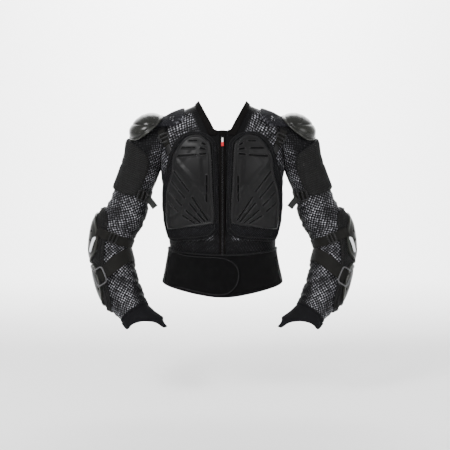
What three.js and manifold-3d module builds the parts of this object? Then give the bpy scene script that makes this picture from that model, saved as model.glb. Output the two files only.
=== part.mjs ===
// Protective armour shirt in its worn shape, in millimetres, +Z up.
// The origin is the middle of the neck, level with the shoulders, where the shirt is held up.
// The front faces -Y and the right arm is at -X. Right-hand pieces are modelled, left ones mirrored.
import * as THREE from "three";
import { mergeVertices } from "three/addons/utils/BufferGeometryUtils.js";
import Module from "manifold-3d";

const wasm = await Module();
wasm.setup();

// Body of the shirt
const chestHalfWidth = 172;
const chestHalfDepth = 112;
const neckRise = 38; // side tips of the collar over the origin
const torsoLength = 504; // from those tips to the hem at the sides
const hemDip = 30; // how much lower the hem hangs at the front
const hemDipStart = 0.75; // share of the torso's length where the dip begins
const torsoWall = 2.4;
const torsoSides = 16;

// Neck opening and collar
const neckHalfWidth = 66;
const neckFrontDrop = 41; // bottom of the front opening under the origin
const neckBackDrop = 54; // deeper than the front, so that no inner back shows over it
const neckFlatHalf = 22; // half of the flat at the bottom of the opening
const neckKnee = { across: 0.42, up: 0.42 }; // bend in its sides, as shares of the way up them
const collarWidth = 14;
const collarThickness = 3.4;

// Sleeves
const elbowReach = 310; // middle of the elbow, out from the middle of the chest
const wristDrop = 548; // wrist seam under the origin
const wristAhead = 55; // wrist seam ahead of the shoulder
const sleeveRadius = 54;
const sleeveWall = 2.2;
const sleeveSides = 12;

// Gaps and depths used everywhere
const clearance = 0.5; // gap between a piece and what it lies on
const sunk = -8; // how deep a piece starts under the surface before it is cut to fit
const degree = Math.PI / 180;

// Padding and plates
const chestPadTop = -46;
const chestPadHeight = 298;
const chestPadThickness = 9;
const chestPlateThickness = 3.2;
const chestRimHeight = 1.8;
const ventWidth = 3.4;
const ventGap = 4;
const shoulderPadThickness = 8;
const shoulderPadInner = 104; // edge next to the neck, out from the middle
const shoulderPadOuter = 204;
const shoulderPadDrop = 34; // lower edges under the origin
const shoulderPadCorner = { across: 26, up: 26 }; // its cut corner next to the neck
const capSunk = 2; // how deep the cap's bed lies in the shoulder pad
const capThickness = 3.6;
const capCrown = 3; // how much higher its middle stands than its rim
const armPadThickness = 8;
const elbowPadThickness = 9;
const elbowCupThickness = 4.5;
const elbowCupCrown = 2; // how much higher its middle stands than its rim
const forearmPlateThickness = 3.6;
const forearmRimHeight = 1.2;
const patchThickness = 0.9;

// Straps and buckles
const strapThickness = 2;
const elbowStrapWidth = 26;
const forearmStrapWidth = 38;
const armStrapWidth = 24;
const armTailWidth = 18;
const armTailLength = 36;
const shoulderStrapWidth = 20;
const buckleThickness = 4;
const armBuckleFrame = { width: 36, length: 32, bar: 5, windows: 2, corner: 4 };
const elbowBuckleFrame = { width: 32, length: 24, bar: 4, windows: 2, corner: 4 };
const forearmRingFrame = { width: 50, length: 40, bar: 5, windows: 1, corner: 5 };

// Zip
const placketHalfWidth = 8.5;
const placketThickness = 2.6;
const sliderDrop = 66; // hinge of the pull under the origin
const sliderWidth = 9;
const sliderHeight = 13;
const sliderDepth = 3.6;
const earHeight = 5;
const pullLength = 21;
const pullWidth = 4.4;
const pullThickness = 1.8;
const pullHeadRadius = 1.9;
const pullTipLength = 11;
const hingeClearance = 0.35;

// Cuffs
const cuffSpan = 112; // width of the hand opening
const cuffWall = 2.6;
const cuffSides = 10;
const cuffArchHeight = 30;
const thumbRadius = 19;

// Waist belt
const beltTop = 0.815; // share of the torso's length
const beltThickness = 4.6;
const flapThickness = 3.2;
const beltTabWidth = 11;
const beltTabTurn = 77; // degrees round from the front
const beltTabThickness = 2.2;

// Sections of the torso: down is a share of its length, width and depths are shares of the chest's.
const torsoRows = [
  { down: 0, width: 0.36, front: 0.446, back: 0.41, square: 2 },
  { down: 0.028, width: 0.477, front: 0.464, back: 0.446, square: 2 },
  { down: 0.05, width: 0.64, front: 0.482, back: 0.482, square: 2 },
  { down: 0.0754, width: 0.849, front: 0.51, back: 0.53, square: 2.1 },
  { down: 0.095, width: 0.93, front: 0.55, back: 0.58, square: 2.1 },
  { down: 0.135, width: 0.988, front: 0.63, back: 0.67, square: 2.2 },
  { down: 0.214, width: 1.012, front: 0.79, back: 0.8, square: 2.3 },
  { down: 0.373, width: 1, front: 0.98, back: 0.94, square: 2.3 },
  { down: 0.512, width: 0.977, front: 1.01, back: 0.93, square: 2.3 },
  { down: 0.651, width: 0.936, front: 0.964, back: 0.85, square: 2.3 },
  { down: 0.815, width: 0.866, front: 0.884, back: 0.75, square: 2.3 },
  { down: 0.909, width: 0.907, front: 0.91, back: 0.79, square: 2.3 },
  { down: 1, width: 0.965, front: 0.946, back: 0.84, square: 2.3 },
];

// Sections of a sleeve: out, drop and ahead place its middle as shares of elbowReach, wristDrop and
// wristAhead, across and deep are shares of sleeveRadius.
const sleeveRows = [
  { out: 0.435, drop: 0.073, ahead: -0.04, across: 0.555, deep: 0.7 },
  { out: 0.555, drop: 0.091, ahead: -0.04, across: 0.815, deep: 0.98 },
  { out: 0.655, drop: 0.139, ahead: -0.04, across: 0.97, deep: 1.1 },
  { out: 0.713, drop: 0.246, ahead: -0.07, across: 0.963, deep: 1.07 },
  { out: 0.806, drop: 0.383, ahead: -0.14, across: 0.944, deep: 1.02 },
  { out: 0.871, drop: 0.496, ahead: -0.18, across: 1.05, deep: 1 },
  { out: 0.968, drop: 0.593, ahead: -0.18, across: 1.07, deep: 1 },
  { out: 1, drop: 0.679, ahead: -0.07, across: 1, deep: 1 },
  { out: 0.974, drop: 0.766, ahead: 0.18, across: 1.02, deep: 0.96 },
  { out: 0.923, drop: 0.869, ahead: 0.51, across: 1, deep: 0.92 },
  { out: 0.832, drop: 0.967, ahead: 0.84, across: 0.9, deep: 0.81 },
  { out: 0.787, drop: 1, ahead: 1, across: 0.79, deep: 0.74 },
];

// Outline of the chest pad seen from the front: out is a share of the torso's half width at that
// height, down a share of the pad's height.
const chestPadOutline = [
  { out: 0.752, down: 0.115 },
  { out: 0.609, down: 0.025 },
  { out: 0.431, down: 0 },
  { out: 0.249, down: 0.025 },
  { out: 0.138, down: 0.08 },
  { out: 0.104, down: 0.155 },
  { out: 0.076, down: 0.5 },
  { out: 0.073, down: 0.83 },
  { out: 0.12, down: 0.905 },
  { out: 0.278, down: 0.96 },
  { out: 0.615, down: 0.985 },
  { out: 0.921, down: 1 },
  { out: 0.983, down: 0.94 },
  { out: 0.99, down: 0.8 },
  { out: 0.979, down: 0.65 },
  { out: 0.944, down: 0.5 },
  { out: 0.891, down: 0.36 },
  { out: 0.805, down: 0.2 },
];

// Outline of the hard chest plate, in the same shares.
const chestPlateOutline = [
  { out: 0.684, down: 0.155 },
  { out: 0.546, down: 0.058 },
  { out: 0.368, down: 0.038 },
  { out: 0.247, down: 0.08 },
  { out: 0.178, down: 0.146 },
  { out: 0.152, down: 0.5 },
  { out: 0.138, down: 0.79 },
  { out: 0.214, down: 0.828 },
  { out: 0.54, down: 0.856 },
  { out: 0.848, down: 0.884 },
  { out: 0.897, down: 0.86 },
  { out: 0.876, down: 0.625 },
  { out: 0.855, down: 0.53 },
  { out: 0.771, down: 0.366 },
  { out: 0.746, down: 0.23 },
];

// Lines of vent slots in the chest plate, in the same shares, each cut into dashes.
const ventLines = [
  { out: 0.504, down: 0.09, outEnd: 0.386, downEnd: 0.09, dashes: 1 },
  { out: 0.307, down: 0.11, outEnd: 0.257, downEnd: 0.126, dashes: 1 },
  { out: 0.615, down: 0.152, outEnd: 0.416, downEnd: 0.152, dashes: 1 },
  { out: 0.332, down: 0.155, outEnd: 0.253, downEnd: 0.165, dashes: 1 },
  { out: 0.676, down: 0.222, outEnd: 0.398, downEnd: 0.214, dashes: 1 },
  { out: 0.348, down: 0.21, outEnd: 0.248, downEnd: 0.202, dashes: 1 },
  { out: 0.24, down: 0.39, outEnd: 0.246, downEnd: 0.62, dashes: 3 },
  { out: 0.724, down: 0.358, outEnd: 0.511, downEnd: 0.532, dashes: 2 },
  { out: 0.768, down: 0.447, outEnd: 0.576, downEnd: 0.593, dashes: 2 },
  { out: 0.805, down: 0.54, outEnd: 0.629, downEnd: 0.663, dashes: 2 },
  { out: 0.827, down: 0.64, outEnd: 0.689, downEnd: 0.717, dashes: 2 },
  { out: 0.464, down: 0.582, outEnd: 0.236, downEnd: 0.79, dashes: 2 },
  { out: 0.512, down: 0.635, outEnd: 0.282, downEnd: 0.805, dashes: 2 },
  { out: 0.572, down: 0.701, outEnd: 0.352, downEnd: 0.815, dashes: 2 },
  { out: 0.623, down: 0.751, outEnd: 0.438, downEnd: 0.82, dashes: 2 },
];

// Pads and plates of the arm: turn is degrees round the sleeve from its outer side towards the
// front, along is a share of the sleeve's length.
const armPadOutline = [
  { turn: -60, along: 0.168 },
  { turn: 0, along: 0.16 },
  { turn: 60, along: 0.168 },
  { turn: 96, along: 0.185 },
  { turn: 108, along: 0.22 },
  { turn: 112, along: 0.3 },
  { turn: 108, along: 0.365 },
  { turn: 92, along: 0.384 },
  { turn: 40, along: 0.392 },
  { turn: -40, along: 0.392 },
  { turn: -92, along: 0.384 },
  { turn: -104, along: 0.365 },
  { turn: -108, along: 0.3 },
  { turn: -104, along: 0.22 },
  { turn: -94, along: 0.185 },
];
const elbowPadOutline = [
  { turn: -50, along: 0.52 },
  { turn: -5, along: 0.505 },
  { turn: 40, along: 0.52 },
  { turn: 62, along: 0.56 },
  { turn: 72, along: 0.64 },
  { turn: 66, along: 0.74 },
  { turn: 62, along: 0.84 },
  { turn: 46, along: 0.92 },
  { turn: 10, along: 0.94 },
  { turn: -40, along: 0.935 },
  { turn: -74, along: 0.88 },
  { turn: -88, along: 0.78 },
  { turn: -98, along: 0.66 },
  { turn: -84, along: 0.56 },
];
const elbowCupOutline = [
  { turn: -46, along: 0.555 },
  { turn: -14, along: 0.545 },
  { turn: 20, along: 0.562 },
  { turn: 46, along: 0.6 },
  { turn: 55, along: 0.65 },
  { turn: 48, along: 0.695 },
  { turn: 20, along: 0.716 },
  { turn: -20, along: 0.722 },
  { turn: -60, along: 0.714 },
  { turn: -80, along: 0.69 },
  { turn: -84, along: 0.64 },
  { turn: -72, along: 0.59 },
];
const forearmPlateOutline = [
  { turn: -56, along: 0.732 },
  { turn: -14, along: 0.738 },
  { turn: 24, along: 0.732 },
  { turn: 40, along: 0.742 },
  { turn: 48, along: 0.8 },
  { turn: 40, along: 0.86 },
  { turn: 14, along: 0.898 },
  { turn: -24, along: 0.9 },
  { turn: -54, along: 0.87 },
  { turn: -68, along: 0.8 },
  { turn: -70, along: 0.752 },
];
const patchOutline = [
  { turn: 40, along: 0.628 },
  { turn: 51, along: 0.627 },
  { turn: 44, along: 0.66 },
  { turn: 35, along: 0.69 },
  { turn: 24, along: 0.69 },
  { turn: 32, along: 0.66 },
];

// Routes of the straps round the sleeve, in the same measures; lift is a share of the elbow pad's
// thickness, where the strap climbs on the pad.
const elbowStrapRoute = [
  { turn: 49, along: 0.607, lift: 1 },
  { turn: 60, along: 0.61, lift: 0.85 },
  { turn: 75, along: 0.616, lift: 0.1 },
  { turn: 90, along: 0.62, lift: 0 },
  { turn: 120, along: 0.629, lift: 0 },
  { turn: 150, along: 0.632, lift: 0 },
  { turn: 180, along: 0.632, lift: 0 },
  { turn: 210, along: 0.632, lift: 0 },
  { turn: 240, along: 0.632, lift: 0 },
  { turn: 256, along: 0.632, lift: 0.1 },
  { turn: 270, along: 0.632, lift: 0.95 },
];
const forearmStrapRoute = [
  { turn: 52, along: 0.803, lift: 1 },
  { turn: 60, along: 0.795, lift: 0.9 },
  { turn: 77, along: 0.778, lift: 0.1 },
  { turn: 90, along: 0.765, lift: 0 },
  { turn: 120, along: 0.739, lift: 0 },
  { turn: 150, along: 0.719, lift: 0 },
  { turn: 180, along: 0.711, lift: 0 },
  { turn: 210, along: 0.716, lift: 0 },
  { turn: 240, along: 0.736, lift: 0 },
  { turn: 256, along: 0.754, lift: 0.1 },
  { turn: 270, along: 0.77, lift: 0.9 },
  { turn: 284, along: 0.785, lift: 1 },
];
const armStrapRoute = [
  { turn: 110, along: 0.368, lift: 0 },
  { turn: 120, along: 0.37, lift: 0 },
  { turn: 150, along: 0.37, lift: 0 },
  { turn: 180, along: 0.37, lift: 0 },
  { turn: 210, along: 0.37, lift: 0 },
  { turn: 240, along: 0.37, lift: 0 },
  { turn: 252, along: 0.37, lift: 0 },
];

// Middles of the arm's buckles, and how far each is spun on the sleeve, in degrees.
const armBucklePlace = { turn: 122, along: 0.372, spin: 90 };
const elbowBucklePlace = { turn: 92, along: 0.62, spin: 84 };
const forearmRingPlace = { turn: 58, along: 0.8, spin: 102 };

// Where the loose end of the arm strap leaves its buckle, and how far it leans inward from straight
// down, in degrees.
const tailPlace = { turn: 146, along: 0.376, lean: 38 };

// Shoulder cap: a dome on a ball set in the head of the sleeve. Its edge is given in degrees from
// the dome's middle, for directions inward, forward, outward and back round it.
const shoulderBall = { out: 0.625, drop: 0.113, radius: 1.04, deep: 1.17 };
const capTilt = 30; // middle of the dome, degrees outward from straight up
const capEdge = [
  { round: 0, reach: 56 },
  { round: 30, reach: 62 },
  { round: 60, reach: 70 },
  { round: 90, reach: 76 },
  { round: 120, reach: 78 },
  { round: 150, reach: 72 },
  { round: 180, reach: 62 },
  { round: 210, reach: 72 },
  { round: 240, reach: 78 },
  { round: 270, reach: 76 },
  { round: 300, reach: 70 },
  { round: 330, reach: 62 },
];

// Shoulder strap from the cap to the chest pad, seen from the front, in shares of chestHalfWidth.
const shoulderStrapRoute = { out: 0.985, drop: 0.24, outEnd: 0.81, dropEnd: 0.625 };

// Sections of the cuff: the outer and inner edges from the middle of the wrist seam, in shares of
// cuffSpan, and the half depth as a share of sleeveRadius.
const cuffRows = [
  { outX: -0.33, outZ: -0.262, inX: 0.5, inZ: 0.045, deep: 0.7, ahead: 0.05 },
  { outX: -0.27, outZ: -0.34, inX: 0.72, inZ: -0.1, deep: 0.64, ahead: 0.09 },
  { outX: -0.23, outZ: -0.375, inX: 0.81, inZ: -0.325, deep: 0.58, ahead: 0.12 },
];

// Flap of the belt: turn in degrees round the torso, down as a share of the belt's height.
const flapOutline = [
  { turn: -70, down: 0.08 },
  { turn: -50, down: 0.06 },
  { turn: -28, down: 0.05 },
  { turn: -4, down: 0.05 },
  { turn: 11, down: 0.12 },
  { turn: 21, down: 0.27 },
  { turn: 24, down: 0.48 },
  { turn: 21, down: 0.7 },
  { turn: 13, down: 0.86 },
  { turn: 0, down: 0.94 },
  { turn: -28, down: 0.94 },
  { turn: -50, down: 0.93 },
  { turn: -70, down: 0.92 },
];

// The values of every column of a table, at a given value of its first column.
function rowAt(rows, column, value) {
  const found = rows.findIndex((row) => row[column] >= value);
  const next = found < 0 ? rows.length - 1 : Math.max(found, 1);
  const low = rows[next - 1];
  const high = rows[next];
  const share = (value - low[column]) / (high[column] - low[column]);
  const row = {};
  for (const name of Object.keys(low)) row[name] = THREE.MathUtils.lerp(low[name], high[name], share);
  return row;
}

// Torso surface: turn is the angle round it from the front towards +X. Each section is a
// superellipse, with its own depth in front and behind.
function torsoSpot(turn, down) {
  const row = rowAt(torsoRows, "down", down);
  const side = Math.sin(turn);
  const front = Math.cos(turn);
  const halfWidth = row.width * chestHalfWidth;
  const halfDepth = (front > 0 ? row.front : row.back) * chestHalfDepth;
  const power = row.square;
  const sum = Math.abs(side / halfWidth) ** power + Math.abs(front / halfDepth) ** power;
  const radius = sum ** (-1 / power);
  const dipShare = Math.max(0, (down - hemDipStart) / (1 - hemDipStart));
  const dip = hemDip * dipShare * Math.max(0, front) ** 1.5;
  return new THREE.Vector3(radius * side, -radius * front, neckRise - down * torsoLength - dip);
}

// Turn and down of the spot on the torso's front that is seen at x and z.
function frontPlace(x, z) {
  const down = (neckRise - z) / torsoLength;
  const row = rowAt(torsoRows, "down", down);
  const share = Math.abs(x) / (row.width * chestHalfWidth);
  const ahead = row.front * chestHalfDepth * (1 - share ** row.square) ** (1 / row.square);
  return { turn: Math.atan2(x, ahead), down };
}

// Rings of the sleeve: middle, and the directions outward and to the front across its path.
const sleeveRings = sleeveRows.map((row, index) => {
  const middleOf = ({ out, drop, ahead }) =>
    new THREE.Vector3(-out * elbowReach, -ahead * wristAhead, -drop * wristDrop);
  const before = middleOf(sleeveRows[Math.max(index - 1, 0)]);
  const after = middleOf(sleeveRows[Math.min(index + 1, sleeveRows.length - 1)]);
  const path = after.sub(before).normalize();
  const front = new THREE.Vector3(0, -1, 0).projectOnPlane(path).normalize();
  const outward = new THREE.Vector3().crossVectors(path, front);
  const across = row.across * sleeveRadius;
  const deep = row.deep * sleeveRadius;
  return { middle: middleOf(row), outward, front, across, deep, along: 0 };
});
for (let index = 1; index < sleeveRings.length; index++) {
  const ring = sleeveRings[index];
  const before = sleeveRings[index - 1];
  ring.along = before.along + ring.middle.distanceTo(before.middle);
}
const sleeveLength = sleeveRings.at(-1).along;
for (const ring of sleeveRings) ring.along /= sleeveLength;

// Sleeve surface: turn is the angle round it from the outer side towards the front.
function sleeveSpot(turn, along) {
  const found = sleeveRings.findIndex((ring) => ring.along >= along);
  const next = found < 0 ? sleeveRings.length - 1 : Math.max(found, 1);
  const low = sleeveRings[next - 1];
  const high = sleeveRings[next];
  const share = (along - low.along) / (high.along - low.along);
  const spotOn = (ring) =>
    ring.middle
      .clone()
      .addScaledVector(ring.outward, ring.across * Math.cos(turn))
      .addScaledVector(ring.front, ring.deep * Math.sin(turn));
  return spotOn(low).lerp(spotOn(high), share);
}

// Ball in the head of the sleeve: both measures are degrees from the dome's middle, sideways
// towards the back and lengthways towards the outside.
const ballMiddle = new THREE.Vector3(
  -shoulderBall.out * elbowReach,
  0,
  -shoulderBall.drop * wristDrop,
);
function ballSpot(sideways, lengthways) {
  const reach = Math.hypot(sideways, lengthways) * degree;
  const round = Math.atan2(sideways, lengthways);
  const direction = new THREE.Vector3(
    -Math.sin(reach) * Math.cos(round),
    -Math.sin(reach) * Math.sin(round),
    Math.cos(reach),
  );
  direction.applyAxisAngle(new THREE.Vector3(0, 1, 0), -capTilt * degree);
  const radius = shoulderBall.radius * sleeveRadius;
  direction.multiply(new THREE.Vector3(radius, shoulderBall.deep * sleeveRadius, radius));
  return direction.add(ballMiddle);
}

// A spot raised over a surface along its normal.
const step = { turn: 0.02, along: 0.004 };
function normalAt(surface, turn, along, steps = step) {
  const byTurn = surface(turn + steps.turn, along).sub(surface(turn - steps.turn, along));
  const byAlong = surface(turn, along + steps.along).sub(surface(turn, along - steps.along));
  return byAlong.cross(byTurn).normalize();
}
function raised(surface, turn, along, lift, steps) {
  return surface(turn, along).addScaledVector(normalAt(surface, turn, along, steps), lift);
}

// A closed body through rings of equal length, each end closed by a fan to its middle.
function loft(rings, firstMiddle, lastMiddle) {
  const count = rings[0].length;
  const meanOf = (ring) =>
    ring.reduce((sum, spot) => sum.add(spot), new THREE.Vector3()).divideScalar(count);
  const spots = rings.flat();
  const first = spots.push(firstMiddle ?? meanOf(rings[0])) - 1;
  const last = spots.push(lastMiddle ?? meanOf(rings.at(-1))) - 1;
  const faces = [];
  for (let ring = 0; ring + 1 < rings.length; ring++)
    for (let here = 0; here < count; here++) {
      const a = ring * count + here;
      const b = ring * count + ((here + 1) % count);
      const secondHalf = 2 * here >= count; // its diagonals mirror those of the first half
      if (secondHalf) faces.push(a, a + count, b, a + count, b + count, b);
      else faces.push(a, a + count, b + count, a, b + count, b);
    }
  const end = (rings.length - 1) * count;
  for (let here = 0; here < count; here++) {
    const next = (here + 1) % count;
    faces.push(first, here, next, last, end + next, end + here);
  }
  const geometry = new THREE.BufferGeometry().setFromPoints(spots);
  geometry.setIndex(faces);
  return geometry;
}

// A tube over a surface, through rings at the given stations.
function tube(surface, stations, lift, sides) {
  const turns = Array.from({ length: sides }, (_, side) => (2 * Math.PI * side) / sides);
  return loft(stations.map((along) => turns.map((turn) => raised(surface, turn, along, lift))));
}

// A solid of manifold-3d from a closed geometry, and a geometry back from a solid.
function solid(geometry) {
  const bare = new THREE.BufferGeometry();
  bare.setAttribute("position", geometry.getAttribute("position").clone());
  if (geometry.index) bare.setIndex(geometry.index.clone());
  const merged = mergeVertices(bare, 1e-4);
  return new wasm.Manifold(
    new wasm.Mesh({
      numProp: 3,
      vertProperties: new Float32Array(merged.getAttribute("position").array),
      triVerts: new Uint32Array(merged.index.array),
    }),
  );
}
function geometryOf(body) {
  const { vertProperties, triVerts, numProp } = body.getMesh();
  const geometry = new THREE.BufferGeometry();
  const spots = new Float32Array((vertProperties.length / numProp) * 3);
  for (let spot = 0; spot < spots.length / 3; spot++)
    spots.set(vertProperties.subarray(spot * numProp, spot * numProp + 3), spot * 3);
  geometry.setAttribute("position", new THREE.BufferAttribute(spots, 3));
  geometry.setIndex(Array.from(triVerts));
  return geometry;
}
function cut(body, ...tools) {
  return tools.reduce((rest, tool) => rest.subtract(tool), body);
}

// The same geometry on the other side of the shirt.
function mirrored(geometry) {
  const copy = geometry.clone().applyMatrix4(new THREE.Matrix4().makeScale(-1, 1, 1));
  const faces = Array.from(copy.index.array);
  for (let face = 0; face < faces.length; face += 3)
    [faces[face + 1], faces[face + 2]] = [faces[face + 2], faces[face + 1]];
  copy.setIndex(faces);
  return copy;
}

// A prism that runs from front to back, with its outline given by x and z.
function prism(points, front, back) {
  const outline = new THREE.Shape(points.map(({ x, z }) => new THREE.Vector2(x, z)));
  const geometry = new THREE.ExtrudeGeometry(outline, { depth: back - front, bevelEnabled: false });
  geometry.rotateX(Math.PI / 2);
  geometry.translate(0, back, 0);
  return solid(geometry);
}

// A smooth closed outline through the rows of a table, as spots of turn and along.
function smoothOutline(places, count) {
  const corners = places.map(({ turn, along }) => new THREE.Vector3(turn, along, 0));
  const curve = new THREE.CatmullRomCurve3(corners, true, "centripetal");
  return curve.getPoints(count).slice(0, count).map(({ x, y }) => ({ turn: x, along: y }));
}

// A pad or plate on a surface: its outline in layers, from under the surface, round the edge and up
// to the crown. Each layer has a share of the outline's size and a lift over the surface.
function shield(surface, outline, layers, steps) {
  const middle = { turn: 0, along: 0 };
  for (const { turn, along } of outline) {
    middle.turn += turn / outline.length;
    middle.along += along / outline.length;
  }
  const spotOf = ({ turn, along }, { size, lift }) =>
    raised(
      surface,
      THREE.MathUtils.lerp(middle.turn, turn, size),
      THREE.MathUtils.lerp(middle.along, along, size),
      lift,
      steps,
    );
  const rings = layers.map((layer) => outline.map((place) => spotOf(place, layer)));
  return loft(rings, spotOf(middle, layers[0]), spotOf(middle, layers.at(-1)));
}

// Layers of a pad: a rounded edge and a flat crown. Grown pads cut the pieces that lie on them.
function padLayers(thickness, grown = 0, spread = 60) {
  const wider = grown / spread;
  return [
    { size: 0.5, lift: sunk },
    { size: 1 + wider, lift: sunk },
    { size: 1 + wider, lift: 0.5 * thickness + grown },
    { size: 0.88 + wider, lift: thickness + grown },
    { size: 0.45, lift: thickness + grown },
  ];
}

// Layers of a hard plate over a pad, with a raised rim round its edge.
function plateLayers(under, thickness, rim, grown = 0, spread = 45) {
  const wider = grown / spread;
  const top = under + thickness + grown;
  return [
    { size: 0.5, lift: sunk },
    { size: 1 + wider, lift: sunk },
    { size: 1 + wider, lift: top },
    { size: 0.96, lift: top + rim },
    { size: 0.9, lift: top },
    { size: 0.45, lift: top },
  ];
}

// A strap round the sleeve, laid along its route, with its width along the sleeve.
function strap(route, width, thickness, under) {
  const rings = route.map(({ turn, along, lift }) => {
    const half = width / 2 / sleeveLength;
    const low = lift * under + sunk / 2;
    const high = lift * under + clearance + thickness;
    const spotOf = (side, height) => raised(sleeveSpot, turn * degree, along + side, height);
    return [spotOf(half, high), spotOf(-half, high), spotOf(-half, low), spotOf(half, low)];
  });
  return solid(loft(rings));
}

// A buckle frame with windows between its bars, lying flat in x and y, its windows along y.
function buckleFrame({ width, length, bar, windows, corner }, grown = 0) {
  const rounded = (shape, halfX, lowY, highY, radius) => {
    shape.moveTo(-halfX + radius, lowY);
    shape.lineTo(halfX - radius, lowY);
    shape.lineTo(halfX, lowY + radius);
    shape.lineTo(halfX, highY - radius);
    shape.lineTo(halfX - radius, highY);
    shape.lineTo(-halfX + radius, highY);
    shape.lineTo(-halfX, highY - radius);
    shape.lineTo(-halfX, lowY + radius);
    shape.closePath();
    return shape;
  };
  const halfLength = length / 2 + grown;
  const outline = rounded(new THREE.Shape(), width / 2 + grown, -halfLength, halfLength, corner);
  const windowLength = (length - bar * (windows + 1)) / windows;
  for (let window = 0; window < windows && grown === 0; window++) {
    const low = -length / 2 + bar + window * (windowLength + bar);
    const hole = rounded(new THREE.Path(), width / 2 - bar, low, low + windowLength, corner / 3);
    outline.holes.push(hole);
  }
  return new THREE.ExtrudeGeometry(outline, { depth: buckleThickness, bevelEnabled: false });
}

// The same geometry moved from x, y and z onto a surface: y along it, z off it, turned by spin.
function placedOn(geometry, surface, turn, along, lift, spin) {
  const normal = normalAt(surface, turn, along);
  const lengthways = surface(turn, along + step.along).sub(surface(turn, along - step.along));
  const yAxis = lengthways.projectOnPlane(normal).normalize().applyAxisAngle(normal, spin);
  const xAxis = new THREE.Vector3().crossVectors(yAxis, normal);
  const place = new THREE.Matrix4().makeBasis(xAxis, yAxis, normal);
  place.setPosition(raised(surface, turn, along, lift));
  return geometry.clone().applyMatrix4(place);
}

// Shirt body and sleeves as filled solids, raised by a lift, and their hollows.
const torsoStations = torsoRows.map(({ down }) => down);
const openStations = [-0.04, ...torsoStations.slice(1, -1), 1.04];
const torsoSolid = (lift) => solid(tube(torsoSpot, torsoStations, lift, torsoSides));
const torsoHollow = solid(tube(torsoSpot, openStations, -torsoWall, torsoSides));
const sleeveStations = sleeveRings.map(({ along }) => along);
const openSleeveStations = [...sleeveStations.slice(0, -1), 1.03];
const sleeveTube = (lift) => tube(sleeveSpot, sleeveStations, lift, sleeveSides);
const sleeveSolid = (lift) => solid(sleeveTube(lift));
const sleeveHollowTube = tube(sleeveSpot, openSleeveStations, -sleeveWall, sleeveSides);
const shirtSolid = (lift) => torsoSolid(lift).add(sleeveSolid(lift));
const torsoSeat = torsoSolid(clearance);
const sleeveSeat = sleeveSolid(clearance);

// The neck opening: a funnel at the front and a shallower scoop behind, both wider by a growth.
function neckOpening(grown) {
  const farOut = 2 * chestHalfDepth;
  const high = 2 * neckRise;
  const side = (drop) => {
    const rise = neckRise + drop;
    const kneeX = THREE.MathUtils.lerp(neckFlatHalf, neckHalfWidth, neckKnee.across);
    return [
      { x: neckFlatHalf + grown, z: -drop - grown },
      { x: kneeX + grown, z: neckKnee.up * rise - drop - 0.7 * grown },
      { x: neckHalfWidth + grown, z: neckRise - 0.2 * grown },
      { x: neckHalfWidth + grown, z: high },
    ];
  };
  const both = (half) => [...half, ...half.map(({ x, z }) => ({ x: -x, z })).reverse()];
  const behind = 0.07 * chestHalfDepth; // where the front funnel gives way to the scoop
  const frontPart = prism(both(side(neckFrontDrop)), -farOut, behind + 2 * clearance);
  return frontPart.add(prism(both(side(neckBackDrop)), behind, farOut));
}
const neckCut = neckOpening(0);

// Torso: a shell open at the hem, the neck and both armholes.
const torso = cut(
  torsoSolid(0),
  torsoHollow,
  solid(sleeveHollowTube),
  solid(mirrored(sleeveHollowTube)),
  neckCut,
);
const sleeve = cut(sleeveSolid(0), solid(sleeveHollowTube), torsoSeat);
const slotHalf = placketHalfWidth + 2 * clearance;
const slotBottom = -neckFrontDrop - 2 * collarWidth;
const zipSlot = prism(
  [
    { x: -slotHalf, z: slotBottom },
    { x: slotHalf, z: slotBottom },
    { x: slotHalf, z: 0 },
    { x: -slotHalf, z: 0 },
  ],
  -2 * chestHalfDepth,
  0,
);
const collarWhole = torsoSolid(collarThickness).intersect(neckOpening(collarWidth));
const collar = cut(collarWhole, torsoSeat, neckCut, zipSlot);

// Chest pad and its pierced plate.
function chestSpot(out, down) {
  const z = chestPadTop - down * chestPadHeight;
  const row = rowAt(torsoRows, "down", (neckRise - z) / torsoLength);
  return new THREE.Vector2(-out * row.width * chestHalfWidth, z);
}
const onFront = ({ out, down }) => {
  const seen = chestSpot(out, down);
  const place = frontPlace(seen.x, seen.y);
  return { turn: place.turn, along: place.down };
};
const chestPadShape = smoothOutline(chestPadOutline.map(onFront), 18);
const collarSeat = torsoSolid(collarThickness + clearance).intersect(
  neckOpening(collarWidth + clearance),
);
const chestPad = cut(
  solid(shield(torsoSpot, chestPadShape, padLayers(chestPadThickness))),
  torsoSeat,
  sleeveSeat,
  collarSeat,
);
const chestPadSeat = solid(shield(torsoSpot, chestPadShape, padLayers(chestPadThickness, clearance)));
// Corners of a bar of the given width from one spot to another, both seen from the front.
function barCorners(near, far, width) {
  const heading = far.clone().sub(near).normalize();
  const across = new THREE.Vector2(-heading.y, heading.x).multiplyScalar(width / 2);
  const corners = [
    near.clone().sub(across),
    far.clone().sub(across),
    far.clone().add(across),
    near.clone().add(across),
  ];
  return corners.map(({ x, y }) => ({ x, z: y }));
}
function ventCutters() {
  const cutters = [];
  for (const { out, down, outEnd, downEnd, dashes } of ventLines) {
    const start = chestSpot(out, down);
    const finish = chestSpot(outEnd, downEnd);
    const heading = finish.clone().sub(start);
    const dash = (heading.length() - ventGap * (dashes - 1)) / dashes;
    heading.normalize();
    for (let count = 0; count < dashes; count++) {
      const near = start.clone().addScaledVector(heading, count * (dash + ventGap));
      const far = near.clone().addScaledVector(heading, dash);
      cutters.push(prism(barCorners(near, far, ventWidth), -2 * chestHalfDepth, 0));
    }
  }
  return cutters;
}
const chestPlateShape = smoothOutline(chestPlateOutline.map(onFront), 16);
const chestPlateWhole = solid(
  shield(
    torsoSpot,
    chestPlateShape,
    plateLayers(chestPadThickness + clearance, chestPlateThickness, chestRimHeight),
  ),
);
const chestPlate = cut(chestPlateWhole, torsoSeat, chestPadSeat, ...ventCutters());

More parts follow.
